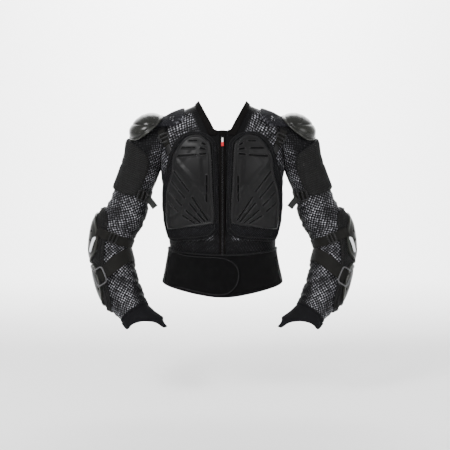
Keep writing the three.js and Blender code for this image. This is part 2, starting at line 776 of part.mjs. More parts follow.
// Shoulder pad over the top of the shoulder, and the hard cap on it.
const padPrism = prism(
  [
    { x: -shoulderPadOuter, z: -shoulderPadDrop },
    { x: -shoulderPadInner - shoulderPadCorner.across, z: -shoulderPadDrop },
    { x: -shoulderPadInner, z: -shoulderPadDrop + shoulderPadCorner.up },
    { x: -shoulderPadInner, z: neckRise },
    { x: -shoulderPadOuter, z: neckRise },
  ],
  -chestHalfDepth,
  chestHalfDepth,
);
const shoulderPad = cut(
  shirtSolid(shoulderPadThickness).intersect(padPrism),
  torsoSeat,
  sleeveSeat,
  chestPadSeat,
  collarSeat,
);
const ballStep = { turn: 0.5, along: 0.5 };
const capOutline = capEdge.map(({ round, reach }) => ({
  turn: reach * Math.sin(round * degree),
  along: -reach * Math.cos(round * degree),
}));
const capLift = shoulderPadThickness - capSunk;
const capShape = smoothOutline(capOutline, 14);
const capLayersOf = (grown) => {
  const wider = grown / (shoulderBall.radius * sleeveRadius);
  const top = capLift + capThickness + grown;
  return [
    { size: 0.6, lift: sunk },
    { size: 1 + wider, lift: sunk },
    { size: 1 + wider, lift: top - 0.3 * capThickness },
    { size: 0.92 + wider, lift: top + 0.3 * capCrown },
    { size: 0.6, lift: top + 0.8 * capCrown },
    { size: 0.3, lift: top + capCrown },
  ];
};
const capBed = shirtSolid(shoulderPadThickness + clearance);
const cap = cut(solid(shield(ballSpot, capShape, capLayersOf(0), ballStep)), capBed);
const capSeat = solid(shield(ballSpot, capShape, capLayersOf(clearance), ballStep));

// Upper-arm pad.
const onSleeve = ({ turn, along }) => ({ turn: turn * degree, along });
const armPadShape = smoothOutline(armPadOutline.map(onSleeve), 16);
const armPadLayers = padLayers(armPadThickness, 0, 50);
const armPad = cut(
  solid(shield(sleeveSpot, armPadShape, armPadLayers)),
  sleeveSeat,
  torsoSeat,
  capSeat,
);

// Elbow guard: pad, cup, forearm plate and patch.
const elbowPadShape = smoothOutline(elbowPadOutline.map(onSleeve), 16);
const elbowPad = cut(
  solid(shield(sleeveSpot, elbowPadShape, padLayers(elbowPadThickness))),
  sleeveSeat,
);
const elbowPadSeat = solid(
  shield(sleeveSpot, elbowPadShape, padLayers(elbowPadThickness, clearance, 50)),
);
const cupUnder = elbowPadThickness + clearance;
const cupShape = smoothOutline(elbowCupOutline.map(onSleeve), 14);
const cupLayers = (grown) => [
  { size: 0.5, lift: sunk },
  { size: 1 + grown / 35, lift: sunk },
  { size: 1 + grown / 35, lift: cupUnder + 0.5 * elbowCupThickness + grown },
  { size: 0.92 + grown / 35, lift: cupUnder + elbowCupThickness + grown },
  { size: 0.5, lift: cupUnder + elbowCupThickness + elbowCupCrown + grown },
];
const elbowCup = cut(solid(shield(sleeveSpot, cupShape, cupLayers(0))), sleeveSeat, elbowPadSeat);
const cupSeat = solid(shield(sleeveSpot, cupShape, cupLayers(clearance)));
const forearmShape = smoothOutline(forearmPlateOutline.map(onSleeve), 14);
const forearmLayers = (grown) => 
  plateLayers(cupUnder, forearmPlateThickness, forearmRimHeight, grown, 40);
const forearmPlate = cut(
  solid(shield(sleeveSpot, forearmShape, forearmLayers(0))),
  sleeveSeat,
  elbowPadSeat,
);
const forearmSeat = solid(shield(sleeveSpot, forearmShape, forearmLayers(clearance)));
const patchTop = cupUnder + elbowCupThickness + 0.8 * elbowCupCrown + clearance + patchThickness;
const patchLayers = [
  { size: 1, lift: cupUnder },
  { size: 1, lift: patchTop },
  { size: 0.6, lift: patchTop + 0.4 },
];
const patch = cut(
  solid(shield(sleeveSpot, smoothOutline(patchOutline.map(onSleeve), 8), patchLayers)),
  cupSeat,
);

// Straps round the arm, each kept off the sleeve and the pads that it lies on.
const armPadSeat = solid(shield(sleeveSpot, armPadShape, padLayers(armPadThickness, clearance, 50)));
const strapBeds = [sleeveSeat, elbowPadSeat, cupSeat, forearmSeat, armPadSeat];
const strapOn = (route, width, lift = 0) =>
  strap(route, width, strapThickness + lift, elbowPadThickness);
const elbowStrap = cut(strapOn(elbowStrapRoute, elbowStrapWidth), ...strapBeds);
const forearmStrap = cut(strapOn(forearmStrapRoute, forearmStrapWidth), ...strapBeds);
const armStrap = cut(strapOn(armStrapRoute, armStrapWidth), ...strapBeds);
const strapSeats = [
  strapOn(elbowStrapRoute, elbowStrapWidth + 2 * clearance, clearance),
  strapOn(forearmStrapRoute, forearmStrapWidth + 2 * clearance, clearance),
  strapOn(armStrapRoute, armStrapWidth + 2 * clearance, clearance),
];

// Buckles of the arm straps, each laid on its strap.
const buckleLift = strapThickness + 2 * clearance;
const ringLift = elbowPadThickness + buckleLift;
function buckleOn(frame, { turn, along, spin }, lift, grown = 0) {
  const flat = buckleFrame(frame, grown);
  return solid(placedOn(flat, sleeveSpot, turn * degree, along, lift, spin * degree));
}
const strapBuckle = (frame, place, lift) => cut(buckleOn(frame, place, lift), ...strapBeds, ...strapSeats);
const armBuckle = strapBuckle(armBuckleFrame, armBucklePlace, buckleLift);
const elbowBuckle = strapBuckle(elbowBuckleFrame, elbowBucklePlace, buckleLift);
const forearmRing = strapBuckle(forearmRingFrame, forearmRingPlace, ringLift);
const buckleSeat = buckleOn(armBuckleFrame, armBucklePlace, buckleLift - clearance, clearance);

// Loose end of the arm strap: a tongue with a rounded tip that hangs from its buckle, inward and down.
const tailRoot = raised(sleeveSpot, tailPlace.turn * degree, tailPlace.along, 0);
const tailNear = new THREE.Vector2(tailRoot.x, tailRoot.z);
const tailHeading = new THREE.Vector2(Math.sin(tailPlace.lean * degree), -Math.cos(tailPlace.lean * degree));
const tailFar = tailNear.clone().addScaledVector(tailHeading, armTailLength);
const tailSide = new THREE.Vector2(-tailHeading.y, tailHeading.x);
const tailTip = [-60, -20, 20, 60].map((angle) =>
  tailFar
    .clone()
    .addScaledVector(tailHeading, (armTailWidth / 2) * Math.cos(angle * degree))
    .addScaledVector(tailSide, (armTailWidth / 2) * Math.sin(angle * degree)),
);
const tailOutline = [
  tailNear.clone().addScaledVector(tailSide, armTailWidth / 2),
  tailNear.clone().addScaledVector(tailSide, -armTailWidth / 2),
  ...tailTip,
];
const armTail = cut(
  prism(
    tailOutline.map(({ x, y }) => ({ x, z: y })),
    tailRoot.y - strapThickness,
    tailRoot.y,
  ),
  ...strapBeds,
  ...strapSeats,
  buckleSeat,
);

// Shoulder strap, its buckle and its end tab, on the front where the sleeve meets the chest.
function slantedBar({ out, drop, outEnd, dropEnd }, width, from, to) {
  const start = new THREE.Vector2(-out * chestHalfWidth, -drop * chestHalfWidth);
  const finish = new THREE.Vector2(-outEnd * chestHalfWidth, -dropEnd * chestHalfWidth);
  const near = start.clone().lerp(finish, from);
  const far = start.clone().lerp(finish, to);
  return prism(barCorners(near, far, width), -chestHalfDepth, 0);
}
const bareShirt = shirtSolid(clearance);
const strapBed = [bareShirt, chestPadSeat, capSeat];
const shoulderPadSeat = shirtSolid(shoulderPadThickness + clearance).intersect(padPrism);
const shoulderStrap = cut(
  shirtSolid(clearance + strapThickness).intersect(slantedBar(shoulderStrapRoute, shoulderStrapWidth, 0, 1)),
  ...strapBed,
  shoulderPadSeat,
);
const overStrap = shirtSolid(2 * clearance + strapThickness);
const shoulderBuckle = cut(
  shirtSolid(2 * clearance + strapThickness + buckleThickness).intersect(
    slantedBar(shoulderStrapRoute, shoulderStrapWidth + 8, 0.12, 0.46),
  ),
  overStrap,
  ...strapBed,
  shoulderPadSeat,
);
const shoulderTab = cut(
  shirtSolid(2 * clearance + 2 * strapThickness).intersect(
    slantedBar(shoulderStrapRoute, shoulderStrapWidth - 4, 0.62, 0.93),
  ),
  overStrap,
  ...strapBed,
);

// Cuff: a knit tube from the wrist seam to an arched hand opening, with a scoop for the thumb.
function cuffTube(inset, early, late) {
  const wrist = sleeveRings.at(-1);
  const turns = Array.from({ length: cuffSides }, (_, side) => (2 * Math.PI * side) / cuffSides);
  const seam = turns.map((turn) => raised(sleeveSpot, turn, 1 + early / sleeveLength, -inset));
  const rings = cuffRows.map((row, index) => {
    const outer = new THREE.Vector3(row.outX * cuffSpan, 0, row.outZ * cuffSpan);
    const inner = new THREE.Vector3(row.inX * cuffSpan, 0, row.inZ * cuffSpan);
    const middle = outer.clone().add(inner).divideScalar(2).add(wrist.middle);
    middle.y -= row.ahead * cuffSpan;
    const half = outer.clone().sub(inner).divideScalar(2);
    const across = half.clone().setLength(half.length() - inset);
    const deep = row.deep * sleeveRadius - inset;
    if (index === cuffRows.length - 1) middle.z -= late;
    return turns.map((turn) =>
      middle
        .clone()
        .addScaledVector(across, Math.cos(turn))
        .add(new THREE.Vector3(0, -deep * Math.sin(turn), 0)),
    );
  });
  return solid(loft([seam, ...rings]));
}
function roundBar(x, z, halfWidth, halfHeight) {
  const corners = Array.from({ length: 10 }, (_, corner) => ({
    x: x + halfWidth * Math.cos(corner * 36 * degree),
    z: z + halfHeight * Math.sin(corner * 36 * degree),
  }));
  return prism(corners, -3 * cuffSpan, 3 * cuffSpan);
}
const wristMiddle = sleeveRings.at(-1).middle;
const handEdge = cuffRows.at(-1);
const cuff = cut(
  cuffTube(0, clearance, 0),
  cuffTube(cuffWall, -4, 6),
  roundBar(
    wristMiddle.x + (cuffSpan * (handEdge.outX + handEdge.inX)) / 2,
    wristMiddle.z + cuffSpan * Math.min(handEdge.outZ, handEdge.inZ) - 4,
    0.44 * cuffSpan,
    cuffArchHeight,
  ),
  roundBar(
    wristMiddle.x + cuffSpan * (handEdge.inX + 0.06),
    wristMiddle.z + cuffSpan * (handEdge.inZ + 0.17),
    thumbRadius,
    thumbRadius,
  ),
);

// Waist belt, its overlapping flap and its side tabs.
const beltStations = [beltTop, beltTop + 0.012, 0.909, 0.988, 1];
const beltTurns = Array.from({ length: torsoSides }, (_, side) => (2 * Math.PI * side) / torsoSides);
const beltWhole = solid(
  loft(
    beltStations.map((down, index) => {
      const atEdge = index === 0 || index === beltStations.length - 1;
      const lift = atEdge ? 0.55 * beltThickness : beltThickness;
      return beltTurns.map((turn) => raised(torsoSpot, turn, down, lift));
    }),
  ),
);
const belt = cut(beltWhole, solid(tube(torsoSpot, openStations, clearance, torsoSides)));
const beltSeat = solid(
  tube(torsoSpot, [0.77, ...beltStations.slice(0, -1), 1.04], beltThickness + clearance, torsoSides),
);
const onBelt = ({ turn, down }) => ({ turn: turn * degree, along: beltTop + down * (1 - beltTop) });
function beltLayers(thickness) {
  const high = beltThickness + clearance + thickness;
  return [
    { size: 0.5, lift: sunk },
    { size: 1, lift: sunk },
    { size: 1, lift: high - 0.3 * thickness },
    { size: 0.95, lift: high },
    { size: 0.5, lift: high },
  ];
}
const flapShape = smoothOutline(flapOutline.map(onBelt), 18);
const beltFlap = cut(solid(shield(torsoSpot, flapShape, beltLayers(flapThickness))), beltSeat);
const tabHalf = (beltTabWidth / 2 / chestHalfWidth) * 1.1;
const tabShape = [
  { turn: -beltTabTurn * degree - tabHalf, along: beltTop + 0.25 * (1 - beltTop) },
  { turn: -beltTabTurn * degree + tabHalf, along: beltTop + 0.25 * (1 - beltTop) },
  { turn: -beltTabTurn * degree + tabHalf, along: beltTop + 0.92 * (1 - beltTop) },
  { turn: -beltTabTurn * degree - tabHalf, along: beltTop + 0.92 * (1 - beltTop) },
];
const beltTab = cut(solid(shield(torsoSpot, tabShape, beltLayers(beltTabThickness))), beltSeat);

// Front zip: the placket with its raised row of teeth, from the neck to the belt.
const placketTop = frontPlace(0, -neckFrontDrop - clearance).down;
const placketStations = [
  placketTop,
  ...torsoStations.filter((down) => down > placketTop + 0.01 && down < beltTop - 0.01),
  beltTop - 0.003,
];
const placketRing = [
  { side: -1, height: 0.5 },
  { side: -0.36, height: 0.7 },
  { side: -0.28, height: 1.25 },
  { side: 0.28, height: 1.25 },
  { side: 0.36, height: 0.7 },
  { side: 1, height: 0.5 },
  { side: 1, height: -2 },
  { side: -1, height: -2 },
];
const placketBody = (grown) =>
  solid(
    loft(
      placketStations.map((down) =>
        placketRing.map(({ side, height }) => {
          const across = (side * (placketHalfWidth + grown)) / chestHalfDepth;
          const lift = clearance + height * placketThickness + (height > 0 ? grown : 0);
          return raised(torsoSpot, across, down, lift);
        }),
      ),
    ),
  );
const placket = cut(placketBody(0), torsoSeat);

// Slider and its pull, made lying flat: x across, y up the zip, z off the chest. The pull's barrel
// turns between the slider's two ears.
const barrelHeight = sliderDepth + pullHeadRadius + hingeClearance;
const earThickness = (sliderWidth - pullWidth) / 2 - hingeClearance;
function block(width, length, depth, x, y, z) {
  return solid(new THREE.BoxGeometry(width, length, depth).translate(x, y, z));
}
const ear = (side) =>
  block(
    earThickness,
    earHeight,
    earHeight + 1,
    side * (sliderWidth - earThickness) * 0.5,
    0,
    sliderDepth + earHeight / 2 - 0.5,
  );
const sliderFlat = block(sliderWidth, sliderHeight, sliderDepth, 0, 0, sliderDepth / 2)
  .add(ear(-1))
  .add(ear(1));
const barrel = new THREE.CylinderGeometry(pullHeadRadius, pullHeadRadius, pullWidth, 14);
barrel.rotateZ(Math.PI / 2);
barrel.translate(0, 0, barrelHeight);
const pullFlat = solid(barrel).add(
  block(pullWidth, pullLength, pullThickness, 0, -pullLength / 2, barrelHeight),
);
const tipMiddle = -pullLength + pullTipLength / 2 - 1.5;
const tipFlat = block(pullWidth + 2.4, pullTipLength, pullThickness + 2, 0, tipMiddle, barrelHeight).subtract(
  block(
    pullWidth + 2 * hingeClearance,
    pullTipLength,
    pullThickness + 2 * hingeClearance,
    0,
    tipMiddle + 1.5 - hingeClearance,
    barrelHeight,
  ),
);
const zipLift = 1.25 * placketThickness + 2 * clearance;
const sliderDown = frontPlace(0, -sliderDrop).down;
const onZip = (body) => placedOn(geometryOf(body), torsoSpot, 0, sliderDown, zipLift, Math.PI);

// Colours and finishes, and the named pieces.
const meshCloth = { color: 0x1c1c20, roughness: 0.75, metalness: 0 };
const padCloth = { color: 0x141416, roughness: 0.85, metalness: 0 };
const knitCloth = { color: 0x17171a, roughness: 0.9, metalness: 0 };
const webbing = { color: 0x1e1e22, roughness: 0.7, metalness: 0 };
const shellPlastic = { color: 0x222226, roughness: 0.32, metalness: 0 };
const platePlastic = { color: 0x1b1b1e, roughness: 0.5, metalness: 0 };
const bucklePlastic = { color: 0x2c2c30, roughness: 0.4, metalness: 0 };
const greyPlastic = { color: 0x8f9197, roughness: 0.4, metalness: 0 };
const whitePlastic = { color: 0xd9dadc, roughness: 0.45, metalness: 0 };
const redPlastic = { color: 0xb3201c, roughness: 0.45, metalness: 0 };
const zipMetal = { color: 0x2a2a2d, roughness: 0.35, metalness: 0.8 };

const shirt = new THREE.Group();
function piece(name, geometry, finish) {
  const mesh = new THREE.Mesh(geometry, new THREE.MeshStandardMaterial(finish));
  mesh.name = name;
  shirt.add(mesh);
  return mesh;
}
function pair(name, body, finish) {
  const geometry = geometryOf(body);
  piece(`${name}_right`, geometry, finish);
  piece(`${name}_left`, geometry, finish).scale.x = -1;
}

piece("torso_mesh", geometryOf(torso), meshCloth);
piece("collar", geometryOf(collar), padCloth);
piece("zip_placket", geometryOf(placket), webbing);
piece("zip_slider", onZip(sliderFlat), zipMetal);
piece("zip_pull", onZip(pullFlat), whitePlastic);
piece("zip_pull_tip", onZip(tipFlat), redPlastic);
piece("belt", geometryOf(belt), padCloth);
piece("belt_flap", geometryOf(beltFlap), padCloth);
pair("belt_tab", beltTab, webbing);
pair("sleeve_mesh", sleeve, meshCloth);
pair("chest_pad", chestPad, padCloth);
pair("chest_plate", chestPlate, platePlastic);
pair("shoulder_pad", shoulderPad, padCloth);
pair("shoulder_cap", cap, shellPlastic);
pair("shoulder_strap", shoulderStrap, webbing);
pair("shoulder_buckle", shoulderBuckle, bucklePlastic);
pair("shoulder_tab", shoulderTab, bucklePlastic);
pair("upper_arm_pad", armPad, padCloth);
pair("arm_strap", armStrap, webbing);
pair("arm_buckle", armBuckle, bucklePlastic);
pair("arm_strap_end", armTail, greyPlastic);
pair("elbow_pad", elbowPad, padCloth);
pair("elbow_cup", elbowCup, shellPlastic);
pair("elbow_patch", patch, whitePlastic);
pair("forearm_plate", forearmPlate, shellPlastic);
pair("elbow_strap", elbowStrap, webbing);
pair("elbow_buckle", elbowBuckle, bucklePlastic);
pair("forearm_strap", forearmStrap, webbing);
pair("forearm_ring", forearmRing, bucklePlastic);
pair("cuff", cuff, knitCloth);

export default shirt;
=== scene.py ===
import math

import bpy
import numpy as np
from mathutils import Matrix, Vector
from mathutils.bvhtree import BVHTree


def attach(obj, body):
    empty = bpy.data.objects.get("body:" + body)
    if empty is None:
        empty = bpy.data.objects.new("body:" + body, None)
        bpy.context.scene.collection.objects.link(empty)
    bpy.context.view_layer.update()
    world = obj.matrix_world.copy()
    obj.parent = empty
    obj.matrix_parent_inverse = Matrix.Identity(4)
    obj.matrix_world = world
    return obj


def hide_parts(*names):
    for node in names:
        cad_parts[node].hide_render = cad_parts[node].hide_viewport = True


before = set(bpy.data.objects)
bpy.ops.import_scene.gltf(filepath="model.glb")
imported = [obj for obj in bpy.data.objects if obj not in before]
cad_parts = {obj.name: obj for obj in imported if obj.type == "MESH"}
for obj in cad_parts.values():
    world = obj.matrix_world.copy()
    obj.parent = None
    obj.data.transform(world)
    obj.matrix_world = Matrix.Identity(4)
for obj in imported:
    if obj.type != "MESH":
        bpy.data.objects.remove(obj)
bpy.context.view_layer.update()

degree = math.pi / 180
print("frame loaded, nodes:", len(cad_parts))

# Body and sleeves, in metres: the same sizes and shares as the solids.
body = {
    "halfWidth": 0.172, "halfDepth": 0.112, "neckRise": 0.038, "length": 0.504,
    "hemDip": 0.030, "dipStart": 0.75, "wall": 0.0024, "beltTop": 0.815,
}
bodyRows = {
    "down": [0, 0.028, 0.05, 0.0754, 0.095, 0.135, 0.214, 0.373, 0.512, 0.651, 0.815, 0.909, 1],
    "width": [0.36, 0.477, 0.64, 0.849, 0.93, 0.988, 1.012, 1, 0.977, 0.936, 0.866, 0.907, 0.965],
    "front": [0.446, 0.464, 0.482, 0.51, 0.55, 0.63, 0.79, 0.98, 1.01, 0.964, 0.884, 0.91, 0.946],
    "back": [0.41, 0.446, 0.482, 0.53, 0.58, 0.67, 0.8, 0.94, 0.93, 0.85, 0.75, 0.79, 0.84],
    "square": [2, 2, 2, 2.1, 2.1, 2.2, 2.3, 2.3, 2.3, 2.3, 2.3, 2.3, 2.3],
}
bodyRound = 0.15  # metres round the body for each radian, in the cloth's own measure
neck = {"halfWidth": 0.066, "frontDrop": 0.041, "backDrop": 0.054, "flatHalf": 0.022, "knee": 0.42}
sleeve = {"elbowReach": 0.310, "wristDrop": 0.548, "wristAhead": 0.055, "radius": 0.054, "wall": 0.0022}
sleeveRows = {
    "out": [0.435, 0.555, 0.655, 0.713, 0.806, 0.871, 0.968, 1, 0.974, 0.923, 0.832, 0.787],
    "drop": [0.073, 0.091, 0.139, 0.246, 0.383, 0.496, 0.593, 0.679, 0.766, 0.869, 0.967, 1],
    "ahead": [-0.04, -0.04, -0.04, -0.07, -0.14, -0.18, -0.18, -0.07, 0.18, 0.51, 0.84, 1],
    "across": [0.555, 0.815, 0.97, 0.963, 0.944, 1.05, 1.07, 1, 1.02, 1, 0.9, 0.79],
    "deep": [0.7, 0.98, 1.1, 1.07, 1.02, 1, 1, 1, 0.96, 0.92, 0.81, 0.74],
}


# A smooth curve through the rows of a table: between two rows a cubic, whose slope at each row is the
# mean slope of its neighbours.
def smoothAt(paintedGlints, values, places):
    paintedGlints, values, places = np.asarray(paintedGlints, float), np.asarray(values, float), np.asarray(places, float)
    slopes = np.gradient(values, paintedGlints, axis=0)
    cell = np.clip(np.searchsorted(paintedGlints, places) - 1, 0, len(paintedGlints) - 2)
    gap = paintedGlints[cell + 1] - paintedGlints[cell]
    share = np.clip((places - paintedGlints[cell]) / gap, 0, 1)
    if values.ndim > 1:
        gap, share = gap[..., None], share[..., None]
    rest = 1 - share
    fromLow = values[cell] * (1 + 2 * share) * rest**2 + slopes[cell] * gap * share * rest**2
    return fromLow + values[cell + 1] * (3 - 2 * share) * share**2 - slopes[cell + 1] * gap * rest * share**2


def smoothStep(low, high, value):  # 0 below low, 1 above high, and an S curve between them
    share = np.clip((value - low) / (high - low), 0, 1)
    return share * share * (3 - 2 * share)


def ridgeAt(distance, width):  # 1 on the line and 0 past the width
    return smoothStep(width, 0, distance)


def rounding(edge, radius):  # a quarter circle from 0 at the edge to 1 at the radius
    return np.sqrt(1 - (1 - np.clip(edge / radius, 0, 1)) ** 2)


def unit(vectors):
    return vectors / np.linalg.norm(vectors, axis=-1, keepdims=True)


def turnsOf(count):
    return np.arange(count) * 2 * math.pi / count


def withEnd(turn):  # the turns and the full circle, for a uv grid that closes
    return np.concatenate([turn, [2 * math.pi]])


def stationsOf(line):  # distance along a line at each of its spots
    return np.concatenate([[0], np.cumsum(np.linalg.norm(np.diff(line, axis=0), axis=1))])


def signedArea(outline):
    return (outline[:, 0] * np.roll(outline[:, 1], -1) - np.roll(outline[:, 0], -1) * outline[:, 1]).sum()


def tubeCoordinates(turn, radius, lengths):  # uv grid of a tube: round it, then along it
    return np.stack(np.broadcast_arrays(withEnd(turn) * radius, lengths[:, None]), -1)


def wholeCells(inside):  # cells of a round grid with all four corners inside
    beside = np.roll(inside, -1, 1)
    return inside[:-1] & inside[1:] & beside[:-1] & beside[1:]


def bodyRow(down):
    shapes = ("width", "front", "back", "square")
    return {name: smoothAt(bodyRows["down"], bodyRows[name], down) for name in shapes}


def linked(item):
    bpy.context.scene.collection.objects.link(item)
    return item


# Body surface: turn is the angle from the front towards +X and down the share of the length. Each
# section is a superellipse, with its own depth in front and behind, and the hem dips at the front.
def bodySpot(turn, down):
    turn, down = np.broadcast_arrays(np.asarray(turn, float), np.asarray(down, float))
    row = bodyRow(down)
    side, ahead = np.sin(turn), np.cos(turn)
    halfWidth = row["width"] * body["halfWidth"]
    halfDepth = np.where(ahead > 0, row["front"], row["back"]) * body["halfDepth"]
    reach = np.abs(side / halfWidth) ** row["square"] + np.abs(ahead / halfDepth) ** row["square"]
    radius = reach ** (-1 / row["square"])
    dip = np.clip((down - body["dipStart"]) / (1 - body["dipStart"]), 0, None)
    dip = body["hemDip"] * dip * np.clip(ahead, 0, None) ** 1.5
    height = body["neckRise"] - down * body["length"] - dip
    return np.stack([radius * side, -radius * ahead, height], -1)


# Turn and down of the spot on the body's front that is seen at x and z.
def frontPlace(x, z):
    down = (body["neckRise"] - np.asarray(z, float)) / body["length"]
    row = bodyRow(down)
    halfWidth, halfDepth = row["width"] * body["halfWidth"], row["front"] * body["halfDepth"]
    power = row["square"]
    share = np.clip(np.abs(x) / halfWidth, 0, 0.9995)
    return np.arctan2(x, halfDepth * (1 - share**power) ** (1 / power)), down


# Rings of the right sleeve: middle, and the directions outward and to the front across its path.
ringMiddle = np.stack([
    -np.array(sleeveRows["out"]) * sleeve["elbowReach"],
    -np.array(sleeveRows["ahead"]) * sleeve["wristAhead"],
    -np.array(sleeveRows["drop"]) * sleeve["wristDrop"],
], -1)
ringPath = np.pad(ringMiddle, ((1, 1), (0, 0)), "edge")
ringPath = unit(ringPath[2:] - ringPath[:-2])
forwards = np.array([0, -1, 0])
ringFront = unit(forwards - ringPath * (ringPath @ forwards)[:, None])
ringOutward = np.cross(ringPath, ringFront)
ringAlong = stationsOf(ringMiddle)
sleeveLength = ringAlong[-1]
ringAlong = ringAlong / sleeveLength


# Sleeve surface: turn is the angle from the outer side towards the front, along the share of the path.
def sleeveSpot(turn, along):
    turn, along = np.broadcast_arrays(np.asarray(turn, float), np.asarray(along, float))
    across = smoothAt(ringAlong, sleeveRows["across"], along) * sleeve["radius"]
    deep = smoothAt(ringAlong, sleeveRows["deep"], along) * sleeve["radius"]
    spot = smoothAt(ringAlong, ringMiddle, along)
    spot = spot + smoothAt(ringAlong, ringOutward, along) * (across * np.cos(turn))[..., None]
    return spot + smoothAt(ringAlong, ringFront, along) * (deep * np.sin(turn))[..., None]


# Ball of the shoulder: both measures are degrees from the dome's middle, sideways to the back and
# lengthways to the outside.
ball = {"out": 0.625, "drop": 0.113, "radius": 1.04, "deep": 1.17, "tilt": 30}
ballMiddle = np.array([-ball["out"] * sleeve["elbowReach"], 0, -ball["drop"] * sleeve["wristDrop"]])


def ballSpot(sideways, lengthways):
    sideways, lengthways = np.broadcast_arrays(np.asarray(sideways, float), np.asarray(lengthways, float))
    reach = np.hypot(sideways, lengthways) * degree
    around = np.arctan2(sideways, lengthways)
    x, y, z = -np.sin(reach) * np.cos(around), -np.sin(reach) * np.sin(around), np.cos(reach)
    lean = -ball["tilt"] * degree
    xLean, zLean = x * math.cos(lean) + z * math.sin(lean), z * math.cos(lean) - x * math.sin(lean)
    turned = np.stack([xLean, y, zLean], -1)
    radius = ball["radius"] * sleeve["radius"]
    return turned * np.array([radius, ball["deep"] * sleeve["radius"], radius]) + ballMiddle


# A spot lifted over a surface along its normal, the cross product of its two slopes.
def raised(surface, turn, along, lift, steps=(0.02, 0.004)):
    turn, along, lift = np.broadcast_arrays(*(np.asarray(value, float) for value in (turn, along, lift)))
    byTurn = surface(turn + steps[0], along) - surface(turn - steps[0], along)
    byAlong = surface(turn, along + steps[1]) - surface(turn, along - steps[1])
    return surface(turn, along) + unit(np.cross(byAlong, byTurn)) * lift[..., None]


# A closed curve through places, as count spots equally spaced in the table's own measure.
def closedCurve(places, count):
    places = np.asarray(places, float)
    station = np.arange(count) * len(places) / count
    cell = station.astype(int)
    share = (station - cell)[:, None]
    before, low, high, after = (places[(cell + shift) % len(places)] for shift in (-1, 0, 1, 2))
    slopeLow, slopeHigh = (high - before) / 2, (after - low) / 2
    rest = 1 - share
    return (low * (1 + 2 * share) * rest**2 + slopeLow * share * rest**2
            + high * (3 - 2 * share) * share**2 - slopeHigh * rest * share**2)


# The same line with count spots at equal distances.
def evenly(line, count, closed=False):
    line = np.concatenate([line, line[:1]]) if closed else line
    reach = stationsOf(line)
    stations = np.linspace(0, reach[-1], count, endpoint=not closed)
    return np.stack([np.interp(stations, reach, line[:, axis]) for axis in range(line.shape[1])], -1)


# A mesh from spots, quads and triangles, with a UV per face corner and named numbers per vertex. It is
# turned so that it faces away from its own volume or, if open, along outward.
def meshPiece(name, spots, quads, fans=None, uvCorners=None, marks=None, outward=None):
    fans = np.zeros((0, 3), int) if fans is None else fans
    halves = np.concatenate([quads[:, [0, 1, 2]], quads[:, [0, 2, 3]], fans])
    a, b, c = (spots[halves[:, corner]] for corner in range(3))
    if outward is None:
        inside = (a * np.cross(b, c)).sum() < 0
    else:
        inside = (np.cross(b - a, c - a) * outward[halves[:, 0]]).sum() < 0
    uvQuads, uvFans = uvCorners if uvCorners else (None, None)
    if inside:
        quads, fans = quads[:, ::-1], fans[:, ::-1]
        if uvCorners:
            uvQuads, uvFans = uvQuads[:, ::-1], uvFans[:, ::-1]
    mesh = bpy.data.meshes.new(name)
    loops = np.concatenate([quads.ravel(), fans.ravel()])
    starts = np.concatenate([np.arange(len(quads)) * 4, len(quads) * 4 + np.arange(len(fans)) * 3])
    mesh.vertices.add(len(spots))
    mesh.loops.add(len(loops))
    mesh.polygons.add(len(starts))
    mesh.vertices.foreach_set("co", spots.astype(np.float32).ravel())
    mesh.loops.foreach_set("vertex_index", loops.astype(np.int32))
    mesh.polygons.foreach_set("loop_start", starts.astype(np.int32))
    mesh.polygons.foreach_set("use_smooth", np.ones(len(starts), bool))
    if uvCorners:
        layer = mesh.uv_layers.new(name="cloth")
        flat = np.concatenate([uvQuads.reshape(-1, 2), uvFans.reshape(-1, 2)])
        layer.uv.foreach_set("vector", flat.astype(np.float32).ravel())
    for mark, values in (marks or {}).items():
        layer = mesh.attributes.new(mark, "FLOAT", "POINT")
        layer.data.foreach_set("value", np.asarray(values, np.float32).ravel())
    mesh.update(calc_edges=True)
    return linked(bpy.data.objects.new(name, mesh))


# A mesh over a grid of spots, rows by columns. Either way can close on itself, and open ends of a
# closed section are capped by a fan to their middle. The uv grid has one more line where it wraps.
def gridPiece(name, spots, uv=None, marks=None, wrapRows=False, wrapColumns=False, capEnds=False,
              outward=None, drop=None):
    rows, columns = spots.shape[:2]
    row, column = np.indices((rows - (not wrapRows), columns - (not wrapColumns)))
    below, beside = (row + 1) % rows, (column + 1) % columns
    quads = np.stack([row * columns + column, row * columns + beside,
                      below * columns + beside, below * columns + column], -1)
    corners = None
    if uv is not None:
        corners = [uv[row, column], uv[row, column + 1], uv[row + 1, column + 1], uv[row + 1, column]]
        corners = np.stack(corners, -2)
    if drop is not None:
        quads, corners = quads[~drop], corners[~drop]
    quads = quads.reshape(-1, 4)
    flat = spots.reshape(-1, 3)
    fans, fanCorners = None, np.zeros((0, 3, 2))
    if capEnds:
        first, last = len(flat), len(flat) + 1
        flat = np.concatenate([flat, spots[0].mean(0)[None], spots[-1].mean(0)[None]])
        here = np.arange(columns)
        after = (here + 1) % columns
        end = (rows - 1) * columns
        fans = np.concatenate([
            np.stack([np.full(columns, first), after, here], -1),
            np.stack([np.full(columns, last), end + here, end + after], -1),
        ])
        if uv is not None:
            middles = [uv[0].mean(0), uv[-1].mean(0)]
            fanCorners = np.concatenate([
                np.stack([np.broadcast_to(middles[0], (columns, 2)), uv[0, here + 1], uv[0, here]], 1),
                np.stack([np.broadcast_to(middles[1], (columns, 2)), uv[-1, here], uv[-1, here + 1]], 1),
            ])
    uvCorners = None if corners is None else (corners.reshape(-1, 4, 2), fanCorners)
    if outward is not None:
        outward = np.broadcast_to(outward, spots.shape).reshape(-1, 3)
    return meshPiece(name, flat, quads, fans, uvCorners, marks, outward)


